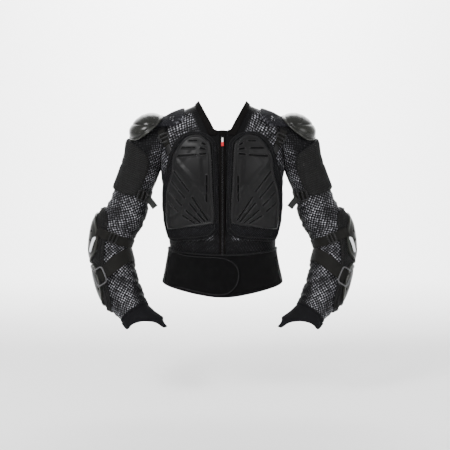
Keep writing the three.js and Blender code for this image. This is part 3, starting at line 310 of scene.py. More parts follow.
# A section carried along a path: each spot of the path has a side and a normal, and the section's
# spots lie that far along them.
def sweep(name, path, section, normals, closed=False):
    path, section, normals = np.asarray(path, float), np.asarray(section, float), np.asarray(normals, float)
    ahead = np.roll(path, -1, 0) - np.roll(path, 1, 0)
    if not closed:
        ahead[0], ahead[-1] = path[1] - path[0], path[-1] - path[-2]
    ahead = unit(ahead)
    side = unit(np.cross(ahead, normals))
    normal = np.cross(side, ahead)
    spots = path[:, None] + side[:, None] * section[None, :, 0, None]
    spots = spots + normal[:, None] * section[None, :, 1, None]
    reach = stationsOf(np.concatenate([path, path[:1]]) if closed else path)
    across = stationsOf(np.concatenate([section, section[:1]]))
    uv = np.stack(np.meshgrid(across, reach, indexing="xy"), -1)
    return gridPiece(name, spots, uv, wrapRows=closed, wrapColumns=True, capEnds=not closed)


def ovalSection(halfWidth, halfHeight, count=10, power=2.0):  # a superellipse
    turn = turnsOf(count)
    reach = (np.abs(np.cos(turn)) ** power + np.abs(np.sin(turn)) ** power) ** (-1 / power)
    return np.stack([halfWidth * reach * np.cos(turn), halfHeight * reach * np.sin(turn)], -1)


# Several pieces made one, without changing any of their spots.
def joined(name, pieces):
    spots, faces, uvs, start = [], [], [], 0
    for piece in pieces:
        mesh = piece.data
        spots += [tuple(v) for v in coordinates(piece)]
        faces += [[start + corner for corner in face.vertices] for face in mesh.polygons]
        layer = np.zeros(len(mesh.loops) * 2, np.float32)
        if mesh.uv_layers:
            mesh.uv_layers[0].uv.foreach_get("vector", layer)
        uvs.append(layer)
        start += len(mesh.vertices)
        bpy.data.objects.remove(piece)
    mesh = bpy.data.meshes.new(name)
    mesh.from_pydata(spots, [], faces)
    mesh.uv_layers.new(name="cloth").uv.foreach_set("vector", np.concatenate(uvs))
    mesh.polygons.foreach_set("use_smooth", np.ones(len(faces), bool))
    mesh.update()
    return linked(bpy.data.objects.new(name, mesh))


def coordinates(piece, mesh=None):
    mesh = mesh or piece.data
    spots = np.zeros(len(mesh.vertices) * 3, np.float32)
    mesh.vertices.foreach_get("co", spots)
    return spots.reshape(-1, 3)


# The same piece on the other side of the shirt.
def twin(piece, name):
    copy = piece.copy()
    copy.data = piece.data.copy()
    copy.name = copy.data.name = name
    spots = coordinates(copy)
    spots[:, 0] *= -1
    copy.data.vertices.foreach_set("co", spots.ravel())
    copy.data.flip_normals()
    return linked(copy)


def settle(piece, nodes, finish):
    piece.data.materials.clear()
    piece.data.materials.append(finish)
    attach(piece, "garment")
    if nodes:
        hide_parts(*nodes)
    return piece


def settlePair(piece, node, finish):
    name = piece.name.removesuffix("_right")
    left = twin(piece, name + "_left")
    for side, item in (("right", piece), ("left", left)):
        settle(item, [f"{node}_{side}"] if node else [], finish)
    return piece, left


def thicken(piece, thickness):
    wall = piece.modifiers.new("wall", "SOLIDIFY")
    wall.thickness, wall.offset = thickness, -1


def refine(piece):
    fine = piece.modifiers.new("fine", "SUBSURF")
    fine.levels = fine.render_levels = 1


# A pad swells by a short cloth simulation under pressure. What is held stays, and each other spot
# moves no farther than the limit.
def puffed(piece, held, limit, pressure):
    group = piece.vertex_groups.new(name="held")
    group.add(np.flatnonzero(held > 0.5).tolist(), 1.0, "REPLACE")
    cloth = piece.modifiers.new("puff", "CLOTH")
    cloth.settings.use_pressure = True
    cloth.settings.uniform_pressure_force = pressure
    cloth.settings.vertex_group_mass = "held"
    cloth.settings.effector_weights.gravity = 0
    cloth.point_cache.frame_start, cloth.point_cache.frame_end = 1, 20
    scene = bpy.context.scene
    for step in range(1, 21):
        scene.frame_set(step)
    graph = bpy.context.evaluated_depsgraph_get()
    grown = coordinates(piece, piece.evaluated_get(graph).data)
    rest = coordinates(piece)
    move = grown - rest
    far = np.linalg.norm(move, axis=1, keepdims=True)
    move *= np.minimum(1, limit / np.maximum(far, 1e-9)) * (held <= 0.5)[:, None]
    piece.modifiers.remove(cloth)
    piece.vertex_groups.remove(group)
    scene.frame_set(1)
    piece.data.vertices.foreach_set("co", (rest + move).ravel())
    piece.data.update()
    print("puffed", piece.name, "by up to", round(float(np.linalg.norm(move, axis=1).max()) * 1000, 1), "mm")


# Nodes of a material or a group: settings are the node's own, inputs are numbers or other sockets.
def addNode(tree, kind, inputs=None, **settings):
    node = tree.nodes.new(kind)
    for key, value in settings.items():
        setattr(node, key, value)
    for socket, value in (inputs or {}).items():
        if isinstance(value, bpy.types.NodeSocket):
            tree.links.new(value, node.inputs[socket])
        else:
            node.inputs[socket].default_value = value
    return node


def mathNode(tree, operation, first, second=0.0):
    return addNode(tree, "ShaderNodeMath", {0: first, 1: second}, operation=operation).outputs[0]


def newGroup(name, inputs, outputs):
    tree = bpy.data.node_groups.new(name, "ShaderNodeTree")
    for socket, kind in inputs.items():
        tree.interface.new_socket(socket, in_out="INPUT", socket_type=kind)
    for socket, kind in outputs.items():
        tree.interface.new_socket(socket, in_out="OUTPUT", socket_type=kind)
    return tree, tree.nodes.new("NodeGroupInput"), tree.nodes.new("NodeGroupOutput")


number, vector = "NodeSocketFloat", "NodeSocketVector"


# Net: slightly uneven cells on a turned lattice. Its first output is a painted glint, bright at each cell's
# middle, and its strength differs from cell to cell. Height swells at the same place.
def netGroup():
    tree, source, sink = newGroup("net", {"Vector": vector, "Pitch": number, "Uneven": number},
                                  {"PaintedGlints": number, "Height": number})
    turned = addNode(tree, "ShaderNodeVectorRotate",
                     {"Vector": source.outputs["Vector"], "Angle": 38 * degree}, rotation_type="Z_AXIS")
    dense = mathNode(tree, "DIVIDE", 1.0, source.outputs["Pitch"])
    scaled = addNode(tree, "ShaderNodeVectorMath", {"Vector": turned.outputs[0], "Scale": dense},
                     operation="SCALE")
    cells = addNode(tree, "ShaderNodeTexVoronoi",
                    {"Vector": scaled.outputs[0], "Scale": 1.0, "Randomness": source.outputs["Uneven"]},
                    voronoi_dimensions="2D", feature="F1")
    dots = addNode(tree, "ShaderNodeMapRange",
                   {"Value": cells.outputs["Distance"], "From Min": 0.40, "From Max": 0.22},
                   interpolation_type="SMOOTHSTEP")
    chance = addNode(tree, "ShaderNodeSeparateColor", {"Color": cells.outputs["Color"]}).outputs[0]
    strength = addNode(tree, "ShaderNodeMath", {0: chance, 1: 0.75, 2: 0.25},
                       operation="MULTIPLY_ADD").outputs[0]
    tree.links.new(mathNode(tree, "MULTIPLY", dots.outputs[0], strength), sink.inputs["PaintedGlints"])
    tree.links.new(dots.outputs[0], sink.inputs["Height"])
    return tree


# Ribs: a sine along one direction of the cloth, turned by an angle.
def ribGroup():
    tree, source, sink = newGroup("ribs", {"Vector": vector, "Pitch": number, "Angle": number},
                                  {"Height": number})
    turned = addNode(tree, "ShaderNodeVectorRotate",
                     {"Vector": source.outputs["Vector"], "Angle": source.outputs["Angle"]},
                     rotation_type="Z_AXIS")
    across = addNode(tree, "ShaderNodeSeparateXYZ", {"Vector": turned.outputs[0]}).outputs["X"]
    pitches = mathNode(tree, "DIVIDE", across, source.outputs["Pitch"])
    wave = mathNode(tree, "SINE", mathNode(tree, "MULTIPLY", pitches, 2 * math.pi))
    half = mathNode(tree, "MULTIPLY", mathNode(tree, "ADD", wave, 1.0), 0.5)
    tree.links.new(half, sink.inputs["Height"])
    return tree


# Grain: soft noise for tone and fine noise for height.
def grainGroup():
    tree, source, sink = newGroup("grain", {"Vector": vector, "Fine": number, "Broad": number},
                                  {"Height": number, "Tone": number})
    for output, scale, detail in (("Height", "Fine", 3.0), ("Tone", "Broad", 4.0)):
        noise = addNode(tree, "ShaderNodeTexNoise", {
            "Vector": source.outputs["Vector"], "Scale": source.outputs[scale], "Detail": detail})
        tree.links.new(noise.outputs["Fac"], sink.inputs[output])
    return tree


groups = {"net": netGroup(), "ribs": ribGroup(), "grain": grainGroup()}


def useGroup(tree, name, inputs):
    return addNode(tree, "ShaderNodeGroup", inputs, node_tree=groups[name])


def newMaterial(name, roughness, sockets):
    material = bpy.data.materials.new(name)
    material.use_nodes = True
    tree = material.node_tree
    shader = tree.nodes["Principled BSDF"]
    shader.inputs["Roughness"].default_value = roughness
    for socket, value in sockets.items():
        shader.inputs[socket].default_value = value
    return material, tree, shader


def mixColour(tree, share, low, high):
    node = addNode(tree, "ShaderNodeMix", data_type="RGBA")
    for socket, value in ((0, share), (6, low), (7, high)):
        if isinstance(value, bpy.types.NodeSocket):
            tree.links.new(value, node.inputs[socket])
        else:
            node.inputs[socket].default_value = (*value, 1) if socket else value
    return node.outputs[2]


def bump(tree, height, strength, distance, before=None):
    node = addNode(tree, "ShaderNodeBump", {"Height": height, "Strength": strength, "Distance": distance})
    if before:
        tree.links.new(before, node.inputs["Normal"])
    return node.outputs[0]


def attribute(tree, name):
    return addNode(tree, "ShaderNodeAttribute", attribute_name=name, attribute_type="GEOMETRY").outputs["Fac"]


# Open net of the body and sleeves: black threads with painted glints, pale dots of base colour that stand in
# for light shining through and off the net. The open mark sets where and how strongly they show, and is nil
# where the panel is plain.
def netFinish(name, look):
    material, tree, shader = newMaterial(name, look["roughness"], {"Specular IOR Level": 0.1})
    place = addNode(tree, "ShaderNodeUVMap", uv_map="cloth").outputs[0]
    net = useGroup(tree, "net", {"Vector": place, "Pitch": look["pitch"], "Uneven": look["uneven"]})
    grain = useGroup(tree, "grain", {"Vector": place, "Fine": 900.0, "Broad": look["patches"]})
    patches = addNode(tree, "ShaderNodeMapRange", {
        "Value": grain.outputs["Tone"], "From Min": 0.36, "From Max": 0.6, "To Min": look["least"]})
    # Painted glints: pale dots, fainter in broad patches, and only as strong as the open mark allows.
    paintedGlints = mathNode(tree, "MULTIPLY", net.outputs["PaintedGlints"], patches.outputs[0])
    paintedGlints = mathNode(tree, "MULTIPLY", paintedGlints, attribute(tree, "openAndGlint"))
    tree.links.new(mixColour(tree, paintedGlints, look["thread"], look["glint"]), shader.inputs["Base Color"])
    rough = addNode(tree, "ShaderNodeMapRange", {"Value": paintedGlints, "To Min": look["roughness"], "To Max": 0.3})
    tree.links.new(rough.outputs[0], shader.inputs["Roughness"])
    fine = bump(tree, grain.outputs["Height"], 0.25, 0.0004)
    tree.links.new(bump(tree, net.outputs["Height"], 0.7, 0.0012, fine), shader.inputs["Normal"])
    return material


# Padded cloth: small knit holes or ribs over soft patches of tone. The knit holes are painted glints: pale
# dots in the dot colour.
def clothFinish(name, look):
    material, tree, shader = newMaterial(name, look["roughness"], {
        "Specular IOR Level": look.get("specular", 0.05), "Sheen Weight": look.get("sheen", 0.0)})
    if look.get("object"):
        place = addNode(tree, "ShaderNodeTexCoord").outputs["Object"]
    else:
        place = addNode(tree, "ShaderNodeUVMap", uv_map="cloth").outputs[0]
    grain = useGroup(tree, "grain", {"Vector": place, "Fine": 1400.0, "Broad": look.get("patches", 30.0)})
    colourNow = mixColour(tree, grain.outputs["Tone"], look["dark"], look["pale"])
    normal = bump(tree, grain.outputs["Height"], 0.3, 0.0004)
    if look.get("net"):
        net = useGroup(tree, "net", {"Vector": place, "Pitch": look["net"], "Uneven": 0.2})
        paintedGlints = mathNode(tree, "MULTIPLY", net.outputs["PaintedGlints"], look["glintStrength"])
        if look.get("masked"):
            shown = mathNode(tree, "ADD", attribute(tree, "openAndGlint"), 0.06)
            paintedGlints = mathNode(tree, "MULTIPLY", paintedGlints, shown)
        colourNow = mixColour(tree, paintedGlints, look["pale"], look["dot"])
        normal = bump(tree, net.outputs["Height"], 0.6, 0.0008, normal)
    if look.get("rib"):
        ribs = useGroup(tree, "ribs", {
            "Vector": place, "Pitch": look["rib"], "Angle": look.get("angle", 0.0)})
        tinted = mathNode(tree, "MULTIPLY", ribs.outputs["Height"], look["ribTone"])
        colourNow = mixColour(tree, tinted, colourNow, look["dot"])
        normal = bump(tree, ribs.outputs["Height"], 0.5, look["rib"] * 0.25, normal)
    tree.links.new(colourNow, shader.inputs["Base Color"])
    tree.links.new(normal, shader.inputs["Normal"])
    return material


# Moulded plastic: slight patches of tone and gloss, fine grain, a painted highlight in a paler colour on
# ridges, and painted shade, near black, in hollows.
def mouldedFinish(name, look):
    material, tree, shader = newMaterial(name, look["roughness"], {
        "Specular IOR Level": look.get("specular", 0.3), "Coat Weight": look.get("coat", 0.0),
        "Coat Roughness": 0.15, "Metallic": look.get("metal", 0.0)})
    place = addNode(tree, "ShaderNodeTexCoord").outputs["Object"]
    grain = useGroup(tree, "grain", {"Vector": place, "Fine": look.get("fine", 700.0), "Broad": 18.0})
    colourNow = mixColour(tree, grain.outputs["Tone"], look["dark"], look["pale"])
    # Painted highlight: the paler colour along the marked ridges.
    colourNow = mixColour(tree, attribute(tree, "ridgeHighlight"), colourNow, look.get("worn", look["pale"]))
    # Painted shade: near black down in the marked hollows.
    colourNow = mixColour(tree, attribute(tree, "hollow"), colourNow, (0.001, 0.001, 0.001))
    tree.links.new(colourNow, shader.inputs["Base Color"])
    rough = addNode(tree, "ShaderNodeMapRange", {
        "Value": grain.outputs["Tone"],
        "To Min": look["roughness"] - 0.06, "To Max": look["roughness"] + 0.1})
    tree.links.new(rough.outputs[0], shader.inputs["Roughness"])
    normal = bump(tree, grain.outputs["Height"], look.get("grain", 0.12), 0.0003)
    tree.links.new(normal, shader.inputs["Normal"])
    return material


# dot is the colour of the painted glints on netted cloth, and the tone of the rib crests on ribbed cloth.
clothLooks = {
    "pad": {"roughness": 0.85, "dark": (0.0015, 0.0015, 0.0018), "pale": (0.004, 0.004, 0.0045),
            "net": 0.0042, "glintStrength": 0.35, "dot": (0.05, 0.05, 0.055)},
    "arm": {"roughness": 0.8, "dark": (0.002, 0.002, 0.002), "pale": (0.0045, 0.0045, 0.0045),
            "net": 0.0040, "glintStrength": 0.35, "dot": (0.04, 0.04, 0.04),
            "rib": 0.0046, "angle": 0.9, "ribTone": 0.25},
    "shoulder": {"roughness": 0.7, "dark": (0.005, 0.005, 0.006), "pale": (0.009, 0.009, 0.011),
                 "net": 0.0056, "glintStrength": 1.0, "dot": (0.2, 0.2, 0.22), "object": True, "masked": True},
    "plain": {"roughness": 0.9, "dark": (0.002, 0.0018, 0.0018), "pale": (0.005, 0.0044, 0.0042),
              "rib": 0.0016, "ribTone": 0.25, "dot": (0.012, 0.011, 0.011)},
    "belt": {"roughness": 0.95, "dark": (0.0012, 0.0012, 0.0014), "pale": (0.003, 0.003, 0.0032),
             "patches": 60.0, "sheen": 0.05},
    "piping": {"roughness": 0.6, "dark": (0.005, 0.005, 0.0052), "pale": (0.01, 0.01, 0.0105),
               "rib": 0.0011, "angle": 0.7, "ribTone": 0.3, "dot": (0.02, 0.02, 0.021)},
    "webbing": {"roughness": 0.6, "dark": (0.006, 0.0058, 0.0052), "pale": (0.011, 0.0106, 0.0096),
                "rib": 0.0024, "angle": 1.571, "ribTone": 0.4, "dot": (0.015, 0.015, 0.015)},
    "knit": {"roughness": 0.92, "dark": (0.004, 0.004, 0.0045), "pale": (0.0075, 0.0075, 0.0085),
             "rib": 0.0018, "ribTone": 0.3, "dot": (0.014, 0.014, 0.016)},
}
# In each look, the colour after dark and pale is the painted highlight on ridges; pale stands in where it is
# missing.
plasticLooks = {
    "plate": {"roughness": 0.4, "dark": (0.002, 0.002, 0.0022), "pale": (0.0045, 0.0044, 0.0048),
              "worn": (0.009, 0.009, 0.0095), "specular": 0.16, "grain": 0.2, "fine": 1100.0},
    "shell": {"roughness": 0.24, "dark": (0.005, 0.0052, 0.0042), "pale": (0.009, 0.0094, 0.0074),
              "worn": (0.02, 0.0205, 0.017), "specular": 0.25, "coat": 0.08, "grain": 0.06},
    "cup": {"roughness": 0.36, "dark": (0.006, 0.0063, 0.0052), "pale": (0.010, 0.0104, 0.0084),
            "worn": (0.02, 0.0205, 0.017), "specular": 0.2, "coat": 0.03},
    "buckle": {"roughness": 0.3, "dark": (0.004, 0.004, 0.0043), "pale": (0.008, 0.008, 0.0083),
               "worn": (0.024, 0.024, 0.025), "specular": 0.2, "coat": 0.2, "grain": 0.05},
    "ring": {"roughness": 0.35, "dark": (0.05, 0.05, 0.053), "pale": (0.09, 0.09, 0.094),
             "worn": (0.2, 0.2, 0.2), "grain": 0.05},
    "tongue": {"roughness": 0.35, "dark": (0.010, 0.0105, 0.0095), "pale": (0.018, 0.0185, 0.017),
               "worn": (0.04, 0.04, 0.04), "specular": 0.2, "grain": 0.08},
    "patch": {"roughness": 0.45, "dark": (0.72, 0.74, 0.78), "pale": (0.86, 0.87, 0.9),
              "worn": (0.9, 0.9, 0.9), "grain": 0.05},
    "white": {"roughness": 0.35, "dark": (0.75, 0.75, 0.74), "pale": (0.88, 0.88, 0.87)},
    "red": {"roughness": 0.35, "dark": (0.4, 0.006, 0.012), "pale": (0.5, 0.01, 0.016)},
    "metal": {"roughness": 0.35, "dark": (0.012, 0.012, 0.013), "pale": (0.022, 0.022, 0.023), "metal": 0.85},
}
finishes = {"net": netFinish("openNet", {
    "roughness": 0.65, "pitch": 0.0068, "uneven": 0.24, "patches": 26.0, "least": 0.18,
    "thread": (0.0012, 0.0012, 0.0016), "glint": (0.33, 0.33, 0.36)})}
finishes.update({name: clothFinish(name + "Cloth", look) for name, look in clothLooks.items()})
finishes.update({name: mouldedFinish(name + "Plastic", look) for name, look in plasticLooks.items()})
print("finishes made:", len(finishes))


# Neck opening: half its width at a height, a wide V in front and a deeper one behind, both wider by
# grown.
def neckHalf(height, drop, grown):
    rise = body["neckRise"] + drop
    knee = neck["flatHalf"] + neck["knee"] * (neck["halfWidth"] - neck["flatHalf"])
    heights = [-drop - grown, neck["knee"] * rise - drop - 0.7 * grown, body["neckRise"] - 0.2 * grown]
    return np.interp(height, heights, [neck["flatHalf"] + grown, knee + grown, neck["halfWidth"] + grown])


# Down of the opening's edge at each turn: the last of many spots down the body that is still open.
def neckEdge(turn, grown=0.0):
    downs = np.linspace(0, 0.26, 1400)
    spots = bodySpot(turn[:, None], downs[None])
    drop = np.where(np.cos(turn) > -0.07, neck["frontDrop"], neck["backDrop"])[:, None]
    front = np.abs(spots[..., 0]) < neckHalf(spots[..., 2], neck["frontDrop"], grown)
    behind = np.abs(spots[..., 0]) < neckHalf(spots[..., 2], neck["backDrop"], grown)
    hole = np.where(np.cos(turn)[:, None] > 0, front, behind) & (spots[..., 2] > -drop - grown)
    last = hole.shape[1] - 1 - np.argmax(hole[:, ::-1], axis=1)
    edge = downs[np.where(hole.any(1), last, 0)]
    padded = np.concatenate([edge[-2:], edge, edge[:2]])
    return np.convolve(padded, [0.1, 0.2, 0.4, 0.2, 0.1], "valid")


# Folds: waves along the cloth whose phase drifts round it, a few millimetres high at most.
def folds(turn, along, waves):
    lift = 0.0
    for count, lean, phase, height in waves:
        lift = lift + height * np.sin(2 * math.pi * (count * along + lean * np.sin(turn + phase) + phase))
    return lift


bodyLook = {"turns": 180, "rows": 140,
            "folds": [(9, 0.7, 0.3, 0.0006), (17, 1.1, 1.7, 0.0005), (5, 1.6, 2.9, 0.0007)]}


# Share of the way out from the middle of the sleeve's head, for spots near the armhole: 1 on the
# sleeve's own surface.
def sleeveReach(spots):
    offset = spots[..., None, :] - ringMiddle[:4]
    lengthways = (offset * ringPath[:4]).sum(-1)
    nearest = np.abs(lengthways).argmin(-1)
    pick = np.take_along_axis(offset, nearest[..., None, None], -2)[..., 0, :]
    across = (pick * ringOutward[nearest]).sum(-1)
    across = across / (np.array(sleeveRows["across"])[nearest] * sleeve["radius"])
    deep = (pick * ringFront[nearest]).sum(-1) / (np.array(sleeveRows["deep"])[nearest] * sleeve["radius"])
    return np.hypot(across, deep) + np.clip(-(pick * ringPath[nearest]).sum(-1) - 0.02, 0, None) * 50


# How far a spot lies out from the body's axis, as a share of the body's surface there.
def bodyReach(spots):
    down = (body["neckRise"] - spots[..., 2]) / body["length"]
    row = bodyRow(down)
    halfDepth = np.where(spots[..., 1] < 0, row["front"], row["back"]) * body["halfDepth"]
    across = np.abs(spots[..., 0] / (row["width"] * body["halfWidth"])) ** row["square"]
    reach = across + np.abs(spots[..., 1] / halfDepth) ** row["square"]
    return reach ** (1 / row["square"]) + np.where(down < 0, 9, 0)


def buildBody():
    turn = turnsOf(bodyLook["turns"])
    share = np.linspace(0, 1, bodyLook["rows"])
    top = neckEdge(turn)
    down = top + share[:, None] * (1 - top)
    grid = np.broadcast_to(turn, down.shape)
    lift = folds(grid, down, bodyLook["folds"]) * smoothStep(0.1, 0.3, down) * smoothStep(0.82, 0.76, down)
    spots = raised(bodySpot, grid, down, lift - 0.0002)
    uv = tubeCoordinates(turn, bodyRound, np.linspace(0, 0.5, bodyLook["rows"]))
    fromNeck = down - neckEdge(turn, 0.026)
    beside = np.abs(spots[..., 0])
    upper = smoothStep(0.44, 0.3, down) * smoothStep(0.03, 0.06, beside)
    waist = 0.8 * smoothStep(0.70, 0.71, down) * smoothStep(0.755, 0.742, down)
    waist = waist * smoothStep(0.12, 0.085, beside) * smoothStep(0.02, 0.035, beside)
    ahead = smoothStep(0.03, 0.0, spots[..., 1])
    # Open mark: how strongly the net's painted glints show. None on the plain collar facing; on the front,
    # strong on the upper body away from the zip and in a band at the waist, faint elsewhere; a quarter
    # behind.
    seen = smoothStep(0.0, 0.02, fromNeck) * (0.25 + ahead * (upper + waist - 0.21))
    toRight = spots * np.where(spots[..., :1] > 0, [-1, 1, 1], 1)
    hollow = (sleeveReach(toRight) < 0.88) & (beside > 0.08) & (down < 0.3)
    cloth = gridPiece("bodyNet", spots, uv, {"openAndGlint": np.clip(seen, 0, 1)}, wrapColumns=True,
                      outward=spots * [1, 1, 0], drop=wholeCells(hollow))
    thicken(cloth, body["wall"])
    return settle(cloth, ["torso_mesh"], finishes["net"])


bodyNet = buildBody()
print("body made")

sleeveLook = {
    "turns": 96, "rows": 150, "start": 0.03,
    "folds": [(24, 1.2, 0.4, 0.0007), (37, 1.9, 2.1, 0.0005), (13, 0.8, 1.2, 0.0009)],
}


def buildSleeve():
    turn = turnsOf(sleeveLook["turns"])
    along = np.linspace(sleeveLook["start"], 1, sleeveLook["rows"])[:, None]
    grid, rows = np.broadcast_arrays(turn, along)
    loose = smoothStep(0.36, 0.42, rows) * smoothStep(0.6, 0.54, rows) + smoothStep(0.66, 0.72, rows)
    crook = smoothStep(0.1, 0.0, np.abs(rows - 0.6)) * smoothStep(0.2, 0.9, -np.cos(grid))
    lift = folds(grid, rows, sleeveLook["folds"]) * (0.25 + loose)
    lift = lift + 0.0016 * crook * np.sin(2 * math.pi * 30 * rows + 1.5 * np.sin(grid))
    spots = raised(sleeveSpot, grid, rows, lift)
    uv = tubeCoordinates(turn, sleeve["radius"], along[:, 0] * sleeveLength)
    # Open mark: how strongly the net's painted glints show, set by the side the sleeve faces: strongest on
    # its front half, some on the outer back, faint elsewhere; a stand-in for how the light falls.
    facing = (grid / degree + 180) % 360 - 180
    high = smoothStep(98, 116, facing) * smoothStep(166, 150, facing) * smoothStep(0.36, 0.34, rows)
    low = smoothStep(-20, 20, facing) * smoothStep(158, 118, facing) * smoothStep(0.36, 0.40, rows)
    seen = 0.06 + 0.19 * smoothStep(-20, -60, facing) + 0.94 * np.maximum(0.8 * high, low)
    inside = bodyReach(spots) < 0.985
    drop = wholeCells(inside)
    cloth = gridPiece("sleeveNet_right", spots, uv, {"openAndGlint": seen}, wrapColumns=True,
                      outward=spots - smoothAt(ringAlong, ringMiddle, rows), drop=drop)
    thicken(cloth, sleeve["wall"])
    return settlePair(cloth, "sleeve_mesh", finishes["net"])


sleeveNets = buildSleeve()


# Seam where the sleeve leaves the body: at each turn, the first spot of the sleeve outside the body.
def buildArmholeSeam():
    turn = np.linspace(0, 2 * math.pi, 72, endpoint=False)
    alongs = np.linspace(0.0, 0.24, 240)
    outside = bodyReach(sleeveSpot(turn[:, None], alongs)) > 1.0
    first = np.argmax(outside, axis=1)
    path = evenly(raised(sleeveSpot, turn, alongs[first], 0.0006), 150, closed=True)
    normals = unit(path - path.mean(0))
    seam = sweep("armholeSeam_right", path, ovalSection(0.0022, 0.0015), normals, closed=True)
    return settlePair(seam, None, finishes["piping"])


buildArmholeSeam()
print("sleeves made")


# Places on each carrier from flat metres: u round or across it and v along it.
def onChest(u, v, lift):
    turn, down = frontPlace(u, v)
    return raised(bodySpot, turn, down, lift)


def onBody(u, v, lift):
    return raised(bodySpot, u / bodyRound, -v / body["length"], lift)


def onSleeve(u, v, lift):
    return raised(sleeveSpot, u / sleeve["radius"], -v / sleeveLength, lift)


ballSize = ball["radius"] * sleeve["radius"] * degree


def onBall(u, v, lift):
    return raised(ballSpot, u / ballSize, v / ballSize, lift, (0.5, 0.5))


def sleeveOutline(places, count=240):
    places = np.asarray(places, float) * [degree * sleeve["radius"], -sleeveLength]
    return closedCurve(places, count)


def gridQuads(numbers):
    corners = (numbers[:-1, :-1], numbers[:-1, 1:], numbers[1:, 1:], numbers[1:, :-1])
    return np.stack(corners, -1).reshape(-1, 4)


# A pad or plate over a carrier. Its flat outline is cut into four sides, the grid inside blends
# between them, and lift gives each spot's height from its place and its distance to the edge. The
# wall goes on from the edge: each layer has its outward offset and its height. A soft pad has a grid of
# faces underneath too, and a hard plate a plain fan.
def panel(name, place, outline, cells, lift, wall, soft=False):
    area = signedArea(outline)
    outline = outline if area > 0 else outline[::-1]
    centred = (outline - outline.mean(0)) / np.ptp(outline, axis=0)
    corners = [int(np.argmax(centred @ slant)) for slant in np.array([[-1, -1], [1, -1], [1, 1], [-1, 1]])]
    outline = np.roll(outline, -corners[0], 0)
    corners = [(corner - corners[0]) % len(outline) for corner in corners] + [len(outline)]
    looped = np.concatenate([outline, outline[:1]])
    across, along = cells
    counts = (across + 1, along + 1, across + 1, along + 1)
    sides = [evenly(looped[corners[side]:corners[side + 1] + 1], counts[side]) for side in range(4)]
    low, right, high, left = sides[0], sides[1], sides[2][::-1], sides[3][::-1]
    s = np.linspace(0, 1, across + 1)[None, :, None]
    t = np.linspace(0, 1, along + 1)[:, None, None]
    flat = (1 - t) * low[None] + t * high[None] + (1 - s) * left[:, None] + s * right[:, None]
    flat = flat - (1 - s) * (1 - t) * low[0] - s * (1 - t) * low[-1]
    flat = flat - (1 - s) * t * high[0] - s * t * high[-1]
    edge = np.full(flat.shape[:2], np.inf)
    for spot in looped[::2]:
        edge = np.minimum(edge, np.hypot(flat[..., 0] - spot[0], flat[..., 1] - spot[1]))
    height, marks = lift(flat[..., 0], flat[..., 1], edge)
    top = place(flat[..., 0], flat[..., 1], height).reshape(-1, 3)
    order = np.arange((across + 1) * (along + 1)).reshape(along + 1, across + 1)
    border = np.concatenate([order[0, :-1], order[:-1, -1], order[-1, :0:-1], order[:0:-1, 0]])
    loop = flat.reshape(-1, 2)[border]
    ahead = np.roll(loop, -1, 0) - np.roll(loop, 1, 0)
    outward = unit(np.stack([ahead[:, 1], -ahead[:, 0]], -1))
    count, base = len(border), len(top)
    spots, flats, rings = [top], [flat.reshape(-1, 2)], [border]
    for layer, (offset, rise) in enumerate(wall):
        moved = loop + outward * offset
        spots.append(place(moved[:, 0], moved[:, 1], rise))
        flats.append(loop + outward * 0.002 * (layer + 1))
        rings.append(base + layer * count + np.arange(count))
    middle = base + len(wall) * count
    quads = [gridQuads(order)]
    if soft:
        inner = flat[1:-1, 1:-1].reshape(-1, 2)
        spots.append(place(inner[:, 0], inner[:, 1], wall[-1][1]))
        flats.append(inner)
        beneath = np.zeros_like(order)
        beneath.flat[border] = rings[-1]
        beneath[1:-1, 1:-1] = middle + np.arange(len(inner)).reshape(along - 1, across - 1)
        quads.append(gridQuads(beneath)[:, ::-1])
        fans = np.zeros((0, 3), int)
    else:
        spots.append(spots[-1].mean(0)[None])
        flats.append(loop.mean(0)[None])
        fans = np.stack([rings[-1], np.full(count, middle), np.roll(rings[-1], -1)], -1)
    for upper, lower in zip(rings[:-1], rings[1:]):
        quads.append(np.stack([upper, lower, np.roll(lower, -1), np.roll(upper, -1)], -1))
    quads = np.concatenate(quads)
    spots, flats = np.concatenate(spots), np.concatenate(flats)
    plain = np.zeros(len(spots) - base)
    marks = {mark: np.concatenate([values.ravel(), plain]) for mark, values in marks.items()}
    piece = meshPiece(name, spots, quads, fans, (flats[quads], flats[fans]), marks)
    held = np.ones(len(spots))
    held[:base] = edge.ravel() < 1e-5
    return piece, held


# Height of a pad: a rounded edge of the given radius, and a crown.
def padLift(thickness, radius, crown=0.0):
    def lift(u, v, edge):
        share = np.clip(edge / radius, 0, 1)
        rounded = np.sqrt(1 - (1 - share) ** 2)
        return thickness * (0.45 + 0.55 * rounded) + crown * smoothStep(0, 0.05, edge), {}
    return lift


# Distance of flat spots from a line between two places.
def fromLine(u, v, start, end):
    start, end = np.asarray(start, float), np.asarray(end, float)
    way = end - start
    share = np.clip(((u - start[0]) * way[0] + (v - start[1]) * way[1]) / (way @ way), 0, 1)
    return np.hypot(u - start[0] - share * way[0], v - start[1] - share * way[1])


# A roll of cloth along an outline on its carrier.
def roll(name, place, outline, inset, lift, halfWidth, halfHeight, count=260):
    area = signedArea(outline)
    ahead = np.roll(outline, -1, 0) - np.roll(outline, 1, 0)
    inward = unit(np.stack([-ahead[:, 1], ahead[:, 0]], -1)) * np.sign(area)
    line = evenly(outline + inward * inset, count, closed=True)
    path = place(line[:, 0], line[:, 1], lift)
    normals = place(line[:, 0], line[:, 1], lift + 0.002) - path
    return sweep(name, path, ovalSection(halfWidth, halfHeight), normals, closed=True)


